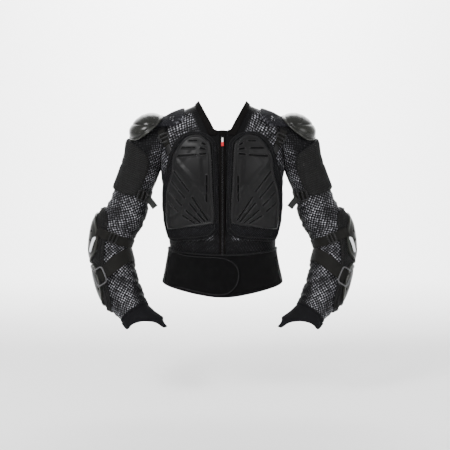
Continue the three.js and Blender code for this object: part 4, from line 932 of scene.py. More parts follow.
chestPad = {"top": -0.046, "height": 0.298, "thickness": 0.009, "puff": 0.0045}
chestPadPlaces = [
    (0.752, 0.115), (0.609, 0.025), (0.431, 0), (0.249, 0.025), (0.138, 0.08), (0.104, 0.155), (0.076, 0.5),
    (0.073, 0.83), (0.12, 0.905), (0.278, 0.96), (0.615, 0.985), (0.921, 1), (0.983, 0.94), (0.99, 0.8),
    (0.979, 0.65), (0.944, 0.5), (0.891, 0.36), (0.805, 0.2),
]
chestPlate = {"thickness": 0.0032, "rim": 0.0018, "ventWidth": 0.0034, "ventGap": 0.004, "depth": 0.0034}
chestPlatePlaces = [
    (0.684, 0.155), (0.546, 0.058), (0.368, 0.038), (0.247, 0.08), (0.178, 0.146), (0.152, 0.5),
    (0.138, 0.79), (0.214, 0.828), (0.54, 0.856), (0.848, 0.884), (0.897, 0.86), (0.876, 0.625),
    (0.855, 0.53), (0.771, 0.366), (0.746, 0.23),
]
ventLines = [  # from out and down to out and down, and the number of dashes
    (0.504, 0.09, 0.386, 0.09, 1), (0.307, 0.11, 0.257, 0.126, 1), (0.615, 0.152, 0.416, 0.152, 1),
    (0.332, 0.155, 0.253, 0.165, 1), (0.676, 0.222, 0.398, 0.214, 1), (0.348, 0.21, 0.248, 0.202, 1),
    (0.24, 0.39, 0.246, 0.62, 3), (0.724, 0.358, 0.511, 0.532, 2), (0.768, 0.447, 0.576, 0.593, 2),
    (0.805, 0.54, 0.629, 0.663, 2), (0.827, 0.64, 0.689, 0.717, 2), (0.464, 0.582, 0.236, 0.79, 2),
    (0.512, 0.635, 0.282, 0.805, 2), (0.572, 0.701, 0.352, 0.815, 2), (0.623, 0.751, 0.438, 0.82, 2),
]


# Where a spot of the chest is seen: out is a share of the body's half width at that height.
def chestSpot(places):
    places = np.asarray(places, float)
    z = chestPad["top"] - places[..., 1] * chestPad["height"]
    width = smoothAt(bodyRows["down"], bodyRows["width"], (body["neckRise"] - z) / body["length"])
    return np.stack([-places[..., 0] * width * body["halfWidth"], z], -1)


def chestCurve(places, count):
    places = closedCurve(places, count)
    return chestSpot(np.clip(places, -0.02, [0.992, 1.02]))


def ventDashes():
    dashes = []
    for out, down, outEnd, downEnd, count in ventLines:
        start, end = chestSpot([(out, down), (outEnd, downEnd)])
        whole = np.linalg.norm(end - start)
        heading = (end - start) / whole
        dash = (whole - chestPlate["ventGap"] * (count - 1)) / count
        for place in range(count):
            near = start + heading * (place * (dash + chestPlate["ventGap"]) + 0.0011)
            dashes.append((near, near + heading * (dash - 0.0022)))
    return dashes


def buildChest():
    outline = chestCurve(chestPadPlaces, 360)
    pad, held = panel("chestPad_right", onChest, outline, (34, 64), padLift(chestPad["thickness"], 0.009),
                      [(0.0006, 0.003), (0.0, 0.0006), (-0.004, 0.0004)], soft=True)
    puffed(pad, held, chestPad["puff"], 3.0)
    refine(pad)
    settlePair(pad, "chest_pad", finishes["pad"])
    rolls = [
        roll("chestPadEdge", onChest, outline, 0.001, chestPad["thickness"] * 0.42, 0.0026, 0.0022, 420),
        roll("chestPadWelt", onChest, outline, 0.0085, chestPad["thickness"] + 0.0012, 0.0016, 0.0014, 420),
    ]
    welt = joined("chestPadPiping_right", rolls)
    settlePair(welt, None, finishes["piping"])


def plateLift(dashes, creases):
    base = chestPad["thickness"] + 0.0005 + chestPlate["thickness"]

    def lift(u, v, edge):
        vent = np.full(u.shape, np.inf)
        for near, far in dashes:
            vent = np.minimum(vent, fromLine(u, v, near, far))
        half = chestPlate["ventWidth"] / 2
        hollow = smoothStep(half + 0.0004, half - 0.0006, vent)
        beside = ridgeAt(np.abs(vent - half - 0.0016), 0.0017) * (1 - hollow)
        rim = ridgeAt(np.abs(edge - 0.0032), 0.0030)
        rounded = rounding(edge, 0.002)
        height = base - 0.0014 * (1 - rounded) + chestPlate["rim"] * rim + 0.0009 * beside
        height = height - chestPlate["depth"] * hollow + 0.0016 * smoothStep(0.004, 0.03, edge)
        for start, end, width, rise in creases:
            swell = rise * ridgeAt(fromLine(u, v, start, end), width)
            height = height + swell * smoothStep(0.004, 0.012, edge)
        # Marks for colour: a painted highlight on the rim and along the vents' sides, and painted shade down
        # in the vents.
        ridgeHighlight = np.clip(0.8 * rim * smoothStep(0.001, 0.003, edge) + beside, 0, 1)
        return height, {"ridgeHighlight": ridgeHighlight, "hollow": hollow}
    return lift


creasePlaces = [  # soft ridges and valleys of the plate: from, to, half width and rise
    ((0.70, 0.26), (0.26, 0.56), 0.011, 0.0022), ((0.30, 0.26), (0.27, 0.56), 0.010, -0.0012),
    ((0.80, 0.76), (0.40, 0.50), 0.012, -0.0014), ((0.84, 0.70), (0.84, 0.86), 0.012, 0.0014),
    ((0.60, 0.30), (0.45, 0.17), 0.010, -0.001), ((0.20, 0.2), (0.2, 0.74), 0.008, 0.0012),
]


def buildPlate():
    creases = [(*chestSpot([start, end]), width, rise) for start, end, width, rise in creasePlaces]
    outline = chestCurve(chestPlatePlaces, 480)
    plate, _ = panel("chestPlate_right", onChest, outline, (132, 250), plateLift(ventDashes(), creases),
                     [(0.0003, chestPad["thickness"] + 0.0026), (0.0, chestPad["thickness"] + 0.0008),
                      (-0.003, chestPad["thickness"])])
    settlePair(plate, "chest_plate", finishes["plate"])


buildChest()
buildPlate()
print("chest pads and plates made")


armPad = {"thickness": 0.008, "puff": 0.004}
armPadPlaces = [
    (-60, 0.168), (0, 0.16), (60, 0.168), (96, 0.185), (108, 0.22), (112, 0.3), (108, 0.365), (92, 0.384),
    (40, 0.392), (-40, 0.392), (-92, 0.384), (-104, 0.365), (-108, 0.3), (-104, 0.22), (-94, 0.185),
]
elbowPad = {"thickness": 0.009, "puff": 0.003}
elbowPadPlaces = [
    (-50, 0.52), (-5, 0.505), (40, 0.52), (62, 0.56), (72, 0.64), (66, 0.74), (62, 0.84), (46, 0.92),
    (10, 0.94), (-40, 0.935), (-74, 0.88), (-88, 0.78), (-98, 0.66), (-84, 0.56),
]


def buildArmPads():
    outline = sleeveOutline(armPadPlaces, 300)
    base = padLift(armPad["thickness"], 0.008)

    def lift(u, v, edge):  # a level channel runs round the pad
        height, marks = base(u, v, edge)
        level = np.abs(v + 0.268 * sleeveLength)
        return height - 0.0030 * ridgeAt(level, 0.005), marks

    pad, held = panel("upperArmPad_right", onSleeve, outline, (46, 30), lift,
                      [(0.0005, 0.0025), (0.0, 0.0006), (-0.003, 0.0004)], soft=True)
    puffed(pad, held, armPad["puff"], 2.5)
    refine(pad)
    settlePair(pad, "upper_arm_pad", finishes["arm"])
    edge = roll("upperArmPadPiping_right", onSleeve, outline,
                0.0008, armPad["thickness"] * 0.4, 0.0022, 0.0019, 360)
    settlePair(edge, None, finishes["piping"])


def buildElbowPads():
    outline = sleeveOutline(elbowPadPlaces, 300)
    pad, held = panel("elbowPad_right", onSleeve, outline, (32, 48), padLift(elbowPad["thickness"], 0.008),
                      [(0.0005, 0.0025), (0.0, 0.0006), (-0.003, 0.0004)], soft=True)
    puffed(pad, held, elbowPad["puff"], 2.5)
    refine(pad)
    settlePair(pad, "elbow_pad", finishes["arm"])
    rolls = [
        roll("elbowEdge", onSleeve, outline, 0.0008, elbowPad["thickness"] * 0.42, 0.0024, 0.002, 360),
        roll("elbowWelt", onSleeve, outline, 0.008, elbowPad["thickness"] + 0.0008, 0.0013, 0.0011, 360),
    ]
    settlePair(joined("elbowPadPiping_right", rolls), None, finishes["piping"])


buildArmPads()
buildElbowPads()
print("arm and elbow pads made")


# Shoulder pad: the solid's own skin, wrapped evenly and smoothed.
def buildShoulderPads():
    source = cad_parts["shoulder_pad_right"]
    pad = bpy.data.objects.new("shoulderPad_right", source.data.copy())
    bpy.context.scene.collection.objects.link(pad)
    even = pad.modifiers.new("even", "REMESH")
    even.mode, even.voxel_size, even.use_smooth_shade = "VOXEL", 0.004, True
    soft = pad.modifiers.new("soft", "CORRECTIVE_SMOOTH")
    soft.iterations, soft.factor, soft.use_only_smooth = 14, 0.5, True
    graph = bpy.context.evaluated_depsgraph_get()
    mesh = bpy.data.meshes.new_from_object(pad.evaluated_get(graph))
    pad.modifiers.clear()
    pad.data = mesh
    spots = coordinates(pad)
    # Open mark: the pad's inner, lower front shows the net's painted glints.
    bare = smoothStep(-0.116, -0.098, spots[:, 0] - spots[:, 2]) * smoothStep(0.03, 0.0, spots[:, 1])
    mesh.attributes.new("openAndGlint", "FLOAT", "POINT").data.foreach_set("value", bare.astype(np.float32))
    mesh.polygons.foreach_set("use_smooth", np.ones(len(mesh.polygons), bool))
    refine(pad)
    settlePair(pad, "shoulder_pad", finishes["shoulder"])


buildShoulderPads()

cap = {"thickness": 0.0036, "crown": 0.003, "under": 0.006}
capEdge = [(0, 56), (30, 62), (60, 70), (90, 76), (120, 78), (150, 72), (180, 62), (210, 72), (240, 78),
           (270, 76), (300, 70), (330, 62)]


def buildCaps():
    around, reach = np.array(capEdge, float).T
    outline = np.stack([reach * np.sin(around * degree), -reach * np.cos(around * degree)], -1) * ballSize
    outline = closedCurve(outline, 300)

    def lift(u, v, edge):
        height = cap["under"] + cap["thickness"] + cap["crown"] * smoothStep(0, 0.03, edge)
        seen = ballSpot(u / ballSize, v / ballSize)
        level = seen[..., 2] + 0.032
        crease = ridgeAt(np.abs(level), 0.0036)
        rim = ridgeAt(np.abs(edge - 0.0028), 0.0026)
        groove = ridgeAt(np.abs(edge - 0.0078), 0.0028)
        lobe = smoothStep(0.0, -0.014, level) * smoothStep(0.006, 0.02, edge)
        ribs = np.cos(2 * math.pi * (v + 0.02) / 0.0165) * smoothStep(0.03, 0.018, np.abs(v + 0.006))
        upper = smoothStep(0.002, 0.012, level) * smoothStep(0.012, 0.022, edge)
        height = height - 0.0016 * crease + 0.0008 * rim - 0.0010 * groove + 0.0018 * lobe
        height = height + 0.0003 * ribs * upper
        rounded = rounding(edge, 0.0025)
        # Marks for colour: a painted highlight on the rim and the lower lobe, and painted shade in the crease
        # and the groove.
        marks = {"ridgeHighlight": 0.6 * rim + 0.4 * lobe, "hollow": 0.5 * crease + 0.4 * groove}
        return height - 0.0018 * (1 - rounded), marks

    wall = [(0.0, cap["under"] + 0.0012), (-0.001, cap["under"] - 0.001), (-0.004, 0.001)]
    shell, _ = panel("shoulderCap_right", onBall, outline, (110, 110), lift, wall)
    settlePair(shell, "shoulder_cap", finishes["shell"])


buildCaps()
print("shoulder pads and caps made")

cup = {"under": 0.0095, "thickness": 0.0045, "crown": 0.002}
elbowCupPlaces = [(-46, 0.555), (-14, 0.545), (20, 0.562), (46, 0.6), (55, 0.65), (48, 0.695), (20, 0.716),
                  (-20, 0.722), (-60, 0.714), (-80, 0.69), (-84, 0.64), (-72, 0.59)]
cupVents = [(26, 0.612), (22, 0.642), (32, 0.642), (24, 0.675), (6, 0.6), (2, 0.632)]
forearmPlatePlaces = [(-56, 0.732), (-14, 0.738), (24, 0.732), (40, 0.742), (48, 0.8), (40, 0.86),
                      (14, 0.898), (-24, 0.9), (-54, 0.87), (-68, 0.8), (-70, 0.752)]
forearmDots = [(28, 0.765), (34, 0.84)]
patchPlaces = [(41, 0.634), (49, 0.632), (44, 0.656), (36, 0.684), (28, 0.685), (34, 0.66)]


def flatSleeve(turn, along):
    return turn * degree * sleeve["radius"], -along * sleeveLength


def guardLift(under, thickness, crown, rimHeight, dots):
    def lift(u, v, edge):
        rim = ridgeAt(np.abs(edge - 0.003), 0.0028)
        hollow = np.zeros(u.shape)
        for turn, along in dots:
            middleU, middleV = flatSleeve(turn, along)
            hollow = np.maximum(hollow, smoothStep(0.0032, 0.0018, np.hypot(u - middleU, v - middleV)))
        rounded = rounding(edge, 0.0025)
        height = under + thickness - 0.0018 * (1 - rounded) + crown * smoothStep(0.004, 0.024, edge)
        # Marks for colour: a painted highlight on the rim, and painted shade in the vent holes.
        return height + rimHeight * rim - 0.003 * hollow, {"ridgeHighlight": rim * 0.7, "hollow": hollow}
    return lift


def buildGuards():
    wall = [(0.0, cup["under"] + 0.001), (-0.001, cup["under"] - 0.001), (-0.004, cup["under"] - 0.002)]
    shell, _ = panel("elbowCup_right", onSleeve, sleeveOutline(elbowCupPlaces), (110, 90),
                     guardLift(cup["under"], cup["thickness"], cup["crown"], 0.0008, cupVents), wall)
    settlePair(shell, "elbow_cup", finishes["cup"])
    plate, _ = panel("forearmPlate_right", onSleeve, sleeveOutline(forearmPlatePlaces), (100, 90),
                     guardLift(cup["under"], 0.0036, 0.001, 0.0012, forearmDots), wall)
    settlePair(plate, "forearm_plate", finishes["cup"])
    high = cup["under"] + cup["thickness"] + cup["crown"] + 0.0009
    patch, _ = panel("elbowPatch_right", onSleeve, sleeveOutline(patchPlaces, 120), (16, 20),
                     padLift(high, 0.0006), [(0.0, high - 0.002), (-0.001, high - 0.003)])
    settlePair(patch, "elbow_patch", finishes["patch"])


buildGuards()
print("elbow guards made")

webbing = {"thickness": 0.0022, "clear": 0.0006}
elbowStrapWay = [(49, 0.607, 1), (60, 0.61, 0.85), (75, 0.616, 0.1), (90, 0.62, 0), (120, 0.629, 0),
                 (150, 0.632, 0), (195, 0.632, 0), (240, 0.632, 0), (256, 0.632, 0.1), (270, 0.632, 0.95)]
forearmStrapWay = [(52, 0.803, 1), (60, 0.795, 0.9), (77, 0.778, 0.1), (90, 0.765, 0), (120, 0.739, 0),
                   (150, 0.719, 0), (180, 0.711, 0), (210, 0.716, 0), (240, 0.736, 0), (256, 0.754, 0.1),
                   (270, 0.77, 0.9), (284, 0.785, 1)]
armStrapWay = [(110, 0.368, 0), (120, 0.37, 0), (160, 0.37, 0), (200, 0.37, 0), (252, 0.37, 0)]


# Section of a strap: a flat bar with rounded edges.
def strapSection(width, thickness):
    return ovalSection(width / 2, thickness / 2, 20, 7.0)


def armStrap(name, way, width, under):
    way = np.asarray(way, float)
    stations = np.linspace(way[0, 0], way[-1, 0], 90)
    along = smoothAt(way[:, 0], way[:, 1], stations)
    lift = np.interp(stations, way[:, 0], way[:, 2]) * under + webbing["clear"] + webbing["thickness"] / 2
    path = raised(sleeveSpot, stations * degree, along, lift)
    normals = raised(sleeveSpot, stations * degree, along, lift + 0.002) - path
    return sweep(name, path, strapSection(width, webbing["thickness"]), normals)


# Frame of a buckle in its own plane: a rounded loop with bars across it.
# Buckle laid on a carrier: x across, y along it and z off it, turned by spin.
def buckle(name, place, size, lift, spin):
    inner = size["bar"] / 2
    width, length = size["width"] - size["bar"], size["length"] - size["bar"]
    loop = np.pad(ovalSection(width / 2, length / 2, 48, 5.0), ((0, 0), (0, 1)))
    up = np.array([0.0, 0, 1])
    section = ovalSection(inner, size["height"] / 2, 12, 3.5)
    parts = [sweep("loop", loop, section, np.broadcast_to(up, loop.shape), closed=True)]
    for bar in range(1, size["windows"]):
        y = (bar / size["windows"] - 0.5) * (size["length"] - size["bar"])
        x = np.linspace(-0.5, 0.5, 6) * (size["width"] - size["bar"])
        path = np.stack([x, np.full(6, y), np.full(6, 0.0006)], -1)
        section = ovalSection(inner * 0.9, size["height"] / 2, 12, 3.0)
        parts.append(sweep("bar", path, section, np.broadcast_to(up, path.shape)))
    whole = joined(name, parts)
    surface, turn, along = place
    middle = raised(surface, turn, along, lift)
    normal = unit(raised(surface, turn, along, lift + 0.01) - middle)
    lengthways = surface(turn, along + 0.004) - surface(turn, along - 0.004)
    lengthways = unit(lengthways - normal * (lengthways @ normal))
    yAxis = lengthways * math.cos(spin) + np.cross(normal, lengthways) * math.sin(spin)
    xAxis = np.cross(yAxis, normal)
    spots = coordinates(whole).astype(float) @ np.stack([xAxis, yAxis, normal]) + middle
    whole.data.vertices.foreach_set("co", spots.astype(np.float32).ravel())
    whole.data.update()
    return whole


def buildArmStraps():
    under = elbowPad["thickness"] + elbowPad["puff"] + 0.0025
    for name, node, way, width, lift in (
        ("elbowStrap_right", "elbow_strap", elbowStrapWay, 0.026, under),
        ("forearmStrap_right", "forearm_strap", forearmStrapWay, 0.038, under),
        ("armStrap_right", "arm_strap", armStrapWay, 0.024, 0),
    ):
        settlePair(armStrap(name, way, width, lift), node, finishes["webbing"])
    over = webbing["thickness"] + 0.003
    arm = buckle("armBuckle_right", (sleeveSpot, 122 * degree, 0.372),
                 {"width": 0.036, "length": 0.032, "bar": 0.0048, "windows": 2, "height": 0.0036},
                 over, 90 * degree)
    settlePair(arm, "arm_buckle", finishes["buckle"])
    elbow = buckle("elbowBuckle_right", (sleeveSpot, 92 * degree, 0.62),
                   {"width": 0.032, "length": 0.024, "bar": 0.004, "windows": 2, "height": 0.0034},
                   over, 84 * degree)
    settlePair(elbow, "elbow_buckle", finishes["buckle"])
    ring = buckle("forearmRing_right", (sleeveSpot, 58 * degree, 0.80),
                  {"width": 0.050, "length": 0.040, "bar": 0.0034, "windows": 1, "height": 0.0030},
                  under + over + 0.001, 102 * degree)
    settlePair(ring, "forearm_ring", finishes["ring"])
    # The loose end hangs from the buckle, inward and down, and curls away from the arm at its tip.
    root = raised(sleeveSpot, 146 * degree, 0.376, 0.004)
    share = np.linspace(0, 1, 24)[:, None]
    lean = 38 * degree
    path = root + share * 0.034 * np.array([math.sin(lean), 0, -math.cos(lean)]) + [0, -0.004, 0] * share**2
    section = strapSection(0.018, 0.002)
    end = sweep("armStrapEnd_right", path, section, np.broadcast_to([0.0, -1, 0], path.shape))
    settlePair(end, "arm_strap_end", finishes["tongue"])


buildArmStraps()
print("arm straps and buckles made")


# Front skin of the shirt at spots seen from the front: the nearest surface that a ray from ahead meets.
def frontOf(places, items):
    graph = bpy.context.evaluated_depsgraph_get()
    trees = [BVHTree.FromObject(item, graph) for item in items]
    hits = []
    for x, z in places:
        found = [tree.ray_cast(Vector((x, -0.3, z)), Vector((0, 1, 0))) for tree in trees]
        found = [hit[0].y for hit in found if hit[0] is not None]
        hits.append(min(found) if found else hits[-1])
    return np.array(hits)


def buildShoulderStraps():
    start, end = np.array([-0.985, -0.24]) * body["halfWidth"], np.array([-0.81, -0.625]) * body["halfWidth"]
    carriers = [bodyNet, sleeveNets[0], bpy.data.objects["shoulderPad_right"]]
    share = np.linspace(0, 1, 40)
    places = start + share[:, None] * (end - start)
    ahead = frontOf(places, carriers)
    ahead = np.convolve(np.pad(ahead, 6, "edge"), np.ones(13) / 13, "valid")
    side = unit(np.array([end[1] - start[1], start[0] - end[0]]))
    beside = frontOf(places + side * 0.008, carriers) - frontOf(places - side * 0.008, carriers)
    across = np.stack([side[0] * np.full(40, 0.016), beside, side[1] * np.full(40, 0.016)], -1)
    across = [np.convolve(np.pad(across[:, axis], 8, "edge"), np.ones(17) / 17, "valid") for axis in range(3)]
    across = unit(np.stack(across, -1))
    path = np.stack([places[:, 0], ahead - 0.0028, places[:, 1]], -1)
    along = unit(np.gradient(path, axis=0))
    normals = np.cross(along, across)
    normals *= -np.sign(normals[:, 1:2])
    strap = sweep("shoulderStrap_right", path, strapSection(0.020, webbing["thickness"]), normals)
    settlePair(strap, "shoulder_strap", finishes["webbing"])
    tabPath = path[25:37] + normals[25:37] * 0.0024
    tab = sweep("shoulderTab_right", tabPath, strapSection(0.0165, 0.0026), normals[25:37])
    settlePair(tab, "shoulder_tab", finishes["buckle"])
    at = 12
    middle, normal, lengthways = path[at] + normals[at] * 0.0036, normals[at], along[at]

    def flatSpot(turn, forth):  # a flat carrier through the strap's middle
        turn, forth = np.broadcast_arrays(turn, forth)
        return middle + across[at] * turn[..., None] * 0.05 + lengthways * forth[..., None] * 0.5

    item = buckle("shoulderBuckle_right", (flatSpot, np.array(0.0), np.array(0.0)),
                  {"width": 0.030, "length": 0.027, "bar": 0.0042, "windows": 2, "height": 0.0036},
                  0.0, 0.0)
    settlePair(item, "shoulder_buckle", finishes["buckle"])


buildShoulderStraps()

# Collar: a band round the neck opening with a rolled edge, split at the zip.
collar = {"width": 0.014, "thickness": 0.0034, "gap": 0.0100}


def buildCollar():
    count = 300
    start = math.asin(collar["gap"] / 0.052)
    turn = np.linspace(start, 2 * math.pi - start, count)
    inner, outer = neckEdge(turn), neckEdge(turn, collar["width"])
    section = [(1.0, 0.0), (1.02, 0.0012), (0.92, 0.0026), (0.6, 0.0031), (0.3, 0.0034), (0.12, 0.0044),
               (-0.02, 0.0040), (-0.10, 0.0022), (-0.06, 0.0002), (0.06, -0.0006), (0.5, 0.0)]
    share, lift = np.array(section).T
    down = inner[:, None] + share * (outer - inner)[:, None]
    spots = raised(bodySpot, turn[:, None], down, lift)
    reach = np.concatenate([[0], np.cumsum(np.linalg.norm(np.diff(spots[:, 0], axis=0), axis=1))])
    uv = np.stack(np.broadcast_arrays(np.append(share, 1.0) * 0.014, reach[:, None]), -1)
    band = gridPiece("collarBand", spots, uv, wrapColumns=True, capEnds=True)
    refine(band)
    settle(band, ["collar"], finishes["plain"])


buildCollar()

# Cuffs: a knit tube from the wrist seam, with an arched hand opening and a scoop for the thumb.
cuff = {"span": 0.112, "wall": 0.0026, "arch": 0.030, "thumb": 0.019}
cuffRows = {"outX": [-0.33, -0.27, -0.23], "outZ": [-0.262, -0.34, -0.375], "inX": [0.5, 0.72, 0.81],
            "inZ": [0.045, -0.1, -0.325], "deep": [0.7, 0.64, 0.58], "ahead": [0.05, 0.09, 0.12]}


def cuffSpot(turn, share):  # share 0 is the wrist seam and 1 the far edge
    turn, share = np.broadcast_arrays(np.asarray(turn, float), np.asarray(share, float))
    wrist = ringMiddle[-1]
    seam = sleeveSpot(turn, np.ones(turn.shape))
    rings = [seam]
    for row in range(3):
        outer = np.array([cuffRows["outX"][row], 0, cuffRows["outZ"][row]]) * cuff["span"]
        inner = np.array([cuffRows["inX"][row], 0, cuffRows["inZ"][row]]) * cuff["span"]
        middle = (outer + inner) / 2 + wrist - [0, cuffRows["ahead"][row] * cuff["span"], 0]
        ring = middle + (outer - inner) / 2 * np.cos(turn)[..., None]
        deep = cuffRows["deep"][row] * sleeve["radius"]
        rings.append(ring - np.array([0, 1, 0]) * (deep * np.sin(turn))[..., None])
    place = np.clip(share, 0, 1) * 3
    cell = np.clip(place.astype(int), 0, 2)
    rings = np.stack(rings)
    pick = np.take_along_axis(rings, cell[None, ..., None], 0)[0]
    after = np.take_along_axis(rings, cell[None, ..., None] + 1, 0)[0]
    return pick + (after - pick) * (place - cell)[..., None]


def buildCuffs():
    wrist, span = ringMiddle[-1], cuff["span"]
    outX, inX, outZ, inZ = (cuffRows[name][-1] for name in ("outX", "inX", "outZ", "inZ"))
    archX, archZ = wrist[0] + span * (outX + inX) / 2, wrist[2] + span * min(outZ, inZ) - 0.004
    thumbX, thumbZ = wrist[0] + span * (inX + 0.06), wrist[2] + span * (inZ + 0.17)
    turn = turnsOf(100)
    shares = np.linspace(0, 1, 400)
    scan = cuffSpot(turn[:, None], shares)
    arch = np.hypot((scan[..., 0] - archX) / (0.44 * span), (scan[..., 2] - archZ) / cuff["arch"]) < 1
    edge = np.where(arch.any(1), shares[np.argmax(arch, axis=1)], 1.0)
    edge = np.convolve(np.pad(edge, 2, "wrap"), np.ones(5) / 5, "valid")
    share = np.linspace(0, 1, 44)[:, None] * edge
    grid = np.broadcast_to(turn, share.shape)
    spots = cuffSpot(grid, share)
    off = spots[..., [0, 2]] - [thumbX, thumbZ]
    near = np.linalg.norm(off, axis=-1)
    inside = near < cuff["thumb"]
    drop = wholeCells(inside)
    push = np.where(inside, cuff["thumb"] / np.maximum(near, 1e-4) - 1, 0)[..., None]
    keep = np.zeros(inside.shape, bool)
    keep[:-1] |= ~drop
    keep[1:] |= ~drop
    push = push * keep[..., None]
    moved = off * push
    spots = spots + np.stack([moved[..., 0], np.zeros(near.shape), moved[..., 1]], -1)
    uv = tubeCoordinates(turn, 0.045, np.linspace(0, 0.06, 44))
    outward = spots - spots.mean(1, keepdims=True)
    tube = gridPiece("cuffKnit_right", spots, uv, wrapColumns=True, outward=outward, drop=drop)
    thicken(tube, cuff["wall"])
    settlePair(tube, "cuff", finishes["knit"])
    path = raised(sleeveSpot, turn[::2], np.full(50, 0.9975), 0.0012)
    seam = sweep("wristSeam_right", path, ovalSection(0.0028, 0.0016), unit(path - path.mean(0)), closed=True)
    settlePair(seam, None, finishes["knit"])


buildCuffs()
print("collar and cuffs made")

# Belt: a thick band whose edges roll in, with a pale roll along the top.
belt = {"thickness": 0.0046, "flap": 0.0032, "tab": 0.0022, "tabWidth": 0.011, "tabTurn": 77}


def buildBelt():
    count = 200
    turn = turnsOf(count)
    height = 1 - body["beltTop"]
    outer = [(0.0, 0.0024), (0.012, 0.0038), (0.035, 0.0046)]
    outer += [(share, 0.0046) for share in np.linspace(0.08, 0.92, 16)]
    outer += [
        (0.965, 0.0046), (0.988, 0.0038), (1.0, 0.0022)]
    inner = [(1.0, 0.0004), (0.5, 0.0004), (0.0, 0.0004)]
    share, lift = np.array(outer + inner).T
    down = body["beltTop"] + share[:, None] * height
    grid = np.broadcast_to(turn, (len(share), count))
    waves = 0.0006 * np.sin(3 * grid + 9 * down) + 0.0004 * np.sin(7 * grid - 14 * down)
    wavy = smoothStep(0.02, 0.2, share * (1 - share)) * (lift > 0.003)
    lift = lift[:, None] + waves * wavy[:, None]
    spots = raised(bodySpot, grid, np.broadcast_to(down, grid.shape), lift)
    around = withEnd(turn)
    v = np.append(share * height * 0.5, share[0] * height * 0.5)
    uv = np.stack(np.broadcast_arrays(around * bodyRound, v[:, None]), -1)
    band = gridPiece("beltBand", spots, uv, wrapRows=True, wrapColumns=True)
    refine(band)
    settle(band, ["belt"], finishes["belt"])
    rolls = []
    for edge, rise, half in ((body["beltTop"], 0.0034, 0.0026), (0.9985, 0.0030, 0.0018)):
        path = raised(bodySpot, turn, np.full(count, edge), rise)
        section = ovalSection(half, half * 0.85)
        rolls.append(sweep("beltEdge", path, section, unit(path * [1, 1, 0]), closed=True))
    settle(joined("beltPiping", rolls), [], finishes["piping"])


flapPlaces = [(-70, 0.08), (-50, 0.06), (-28, 0.05), (-4, 0.05), (11, 0.12), (21, 0.27), (24, 0.48),
              (21, 0.7), (13, 0.86), (0, 0.94), (-28, 0.94), (-50, 0.93), (-70, 0.92)]


def beltOutline(places, count):
    turn, share = np.asarray(places, float).T
    down = body["beltTop"] + share * (1 - body["beltTop"])
    flat = np.stack([turn * degree * bodyRound, -down * body["length"]], -1)
    return closedCurve(flat, count)


def buildFlap():
    outline = beltOutline(flapPlaces, 300)
    under = belt["thickness"] + 0.0005

    def lift(u, v, edge):
        rounded = rounding(edge, 0.003)
        waves = 0.0005 * np.sin(60 * u + 90 * v) + 0.0004 * np.sin(140 * u - 40 * v)
        return under + belt["flap"] * (0.5 + 0.5 * rounded) + waves * smoothStep(0.004, 0.02, edge), {}

    flap, _ = panel("beltFlap", onBody, outline, (120, 70), lift, [(0.0004, under + 0.0004), (-0.002, under)])
    settle(flap, ["belt_flap"], finishes["belt"])
    edge = roll("beltFlapPiping", onBody, outline, 0.0008, under + belt["flap"] * 0.75, 0.0018, 0.0015, 360)
    settle(edge, [], finishes["piping"])
    half = belt["tabWidth"] / 2 / bodyRound / degree
    tabPlaces = [(-belt["tabTurn"] - half, 0.25), (-belt["tabTurn"] + half, 0.25),
                 (-belt["tabTurn"] + half, 0.92), (-belt["tabTurn"] - half, 0.92)]
    corners = beltOutline([place for place in tabPlaces for _ in range(2)], 80)
    tab, _ = panel("beltTab_right", onBody, corners, (10, 44),
                   lambda u, v, edge: (under + belt["tab"] * (0.5 + 0.5 * rounding(edge, 0.002)), {}),
                   [(0.0, under), (-0.001, under - 0.001)])
    settlePair(tab, "belt_tab", finishes["piping"])


buildBelt()
buildFlap()
print("belt made")

# Zip: two tapes with a raised row of teeth between them.
zipFront = {"half": 0.0085, "thickness": 0.0026, "pitch": 0.0025}


def buildZip():
    top = float(frontPlace(0.0, -neck["frontDrop"] - 0.0005)[1])
    down = np.linspace(top, body["beltTop"] - 0.003, 150)
    path = raised(bodySpot, 0.0, down, 0.0012)
    normals = raised(bodySpot, 0.0, down, 0.004) - path
    half, high = zipFront["half"], zipFront["thickness"]
    section = np.array([(-1, 0.35 * high), (-0.42, 0.55 * high), (-0.34, 0.95 * high),
                        (-0.26, 0.6 * high), (0.26, 0.6 * high), (0.34, 0.95 * high), (0.42, 0.55 * high),
                        (1, 0.35 * high), (1, -0.4 * high), (-1, -0.4 * high)])
    section[:, 0] *= half
    tape = sweep("zipTape", path, section, normals)
    settle(tape, ["zip_placket"], finishes["plain"])
    line = evenly(path[10:], int(stationsOf(path[10:])[-1] / zipFront["pitch"] * 2))
    box = np.array([(x, y, z) for x in (-1, 1) for y in (-1, 1) for z in (-1, 1)]) * [0.0017, 0.00085, 0.0007]
    sides = np.where(np.arange(len(line)) % 2, 1, -1)
    middles = line + np.stack([sides * 0.0009, np.full(len(line), -0.0016), np.zeros(len(line))], -1)
    spots = (middles[:, None] + box).reshape(-1, 3)
    faces = np.array([(0, 1, 3, 2), (4, 6, 7, 5), (0, 4, 5, 1), (2, 3, 7, 6), (0, 2, 6, 4), (1, 5, 7, 3)])
    quads = (np.arange(len(line))[:, None, None] * 8 + faces).reshape(-1, 4)
    teeth = meshPiece("zipTeeth", spots, quads)
    teeth.data.polygons.foreach_set("use_smooth", np.zeros(len(quads), bool))
    settle(teeth, [], finishes["metal"])


buildZip()


# Small parts of the zip keep their solids, with softened edges.
def keepNode(node, finish, width):
    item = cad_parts[node]
    for slot in item.material_slots:
        slot.material = finish
    soft = item.modifiers.new("soft", "BEVEL")
    soft.width, soft.segments, soft.limit_method, soft.angle_limit = width, 2, "ANGLE", 0.7


for node, finish in (("zip_slider", "metal"), ("zip_pull", "white"), ("zip_pull_tip", "red")):
    keepNode(node, finishes[finish], 0.0004)
print("zip made")


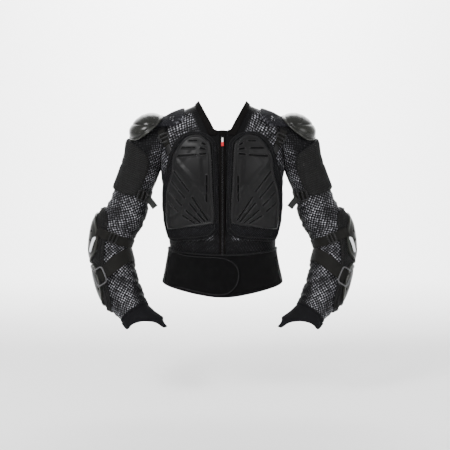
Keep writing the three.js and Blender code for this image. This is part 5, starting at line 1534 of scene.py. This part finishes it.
# Studio: a pale seamless floor, two soft lights in front, one on the backdrop, and a pale surround.
studio = {
    "floor": -0.80, "target": (0.007, 0.0, -0.308), "distance": 3.2, "elevation": 6, "lens": 91,
    "near": -6.0, "bend": 2.2, "radius": 1.5, "top": 6.0, "halfWidth": 7.0, "surround": 0.9,
}
# Each light's place, the spot it faces, its power and its size.
lights = {
    "keyLight": ((-1.5, -2.0, 1.7), studio["target"], 90, 0.9),
    "fillLight": ((1.8, -2.0, 0.8), studio["target"], 30, 1.4),
    "backdropLight": ((0.0, 2.0, 2.7), (0.0, 4.5, 1.7), 650, 2.4),
}


def aimed(name, data, place, target):
    item = linked(bpy.data.objects.new(name, data))
    item.location = place
    item.rotation_euler = (Vector(target) - item.location).to_track_quat("-Z", "Y").to_euler()
    return item


def buildStudio():
    bend, radius = studio["bend"], studio["radius"]
    run = [(studio["near"], 0.0), (bend, 0.0)]
    for angle in np.linspace(0, math.pi / 2, 20)[1:]:
        run.append((bend + radius * math.sin(angle), radius * (1 - math.cos(angle))))
    run.append((bend + radius, studio["top"]))
    run = np.array(run)[:, None]
    x = np.array([-1, 0, 1]) * studio["halfWidth"]
    spots = np.stack(np.broadcast_arrays(x, run[..., 0], run[..., 1] + studio["floor"]), -1)
    ground = gridPiece("ground", spots, outward=np.array([0.0, -1, 1]))
    paint, _, _ = newMaterial("groundPaint", 0.9, {"Base Color": (0.95, 0.95, 0.95, 1)})
    ground.data.materials.append(paint)
    for name, (place, faced, power, size) in lights.items():
        light = bpy.data.lights.new(name, "AREA")
        light.energy, light.size = power, size
        aimed(name, light, place, faced)
    world = bpy.data.worlds.new("studioWorld")
    world.use_nodes = True
    background = world.node_tree.nodes["Background"]
    background.inputs["Color"].default_value = (1, 1, 1, 1)
    background.inputs["Strength"].default_value = studio["surround"]
    bpy.context.scene.world = world
    camera = bpy.data.cameras.new("photoCamera")
    camera.lens, camera.sensor_width = studio["lens"], 36
    lean = studio["elevation"] * degree
    place = Vector(studio["target"]) + Vector((0, -math.cos(lean), math.sin(lean))) * studio["distance"]
    bpy.context.scene.camera = aimed("photoCamera", camera, place, studio["target"])


buildStudio()
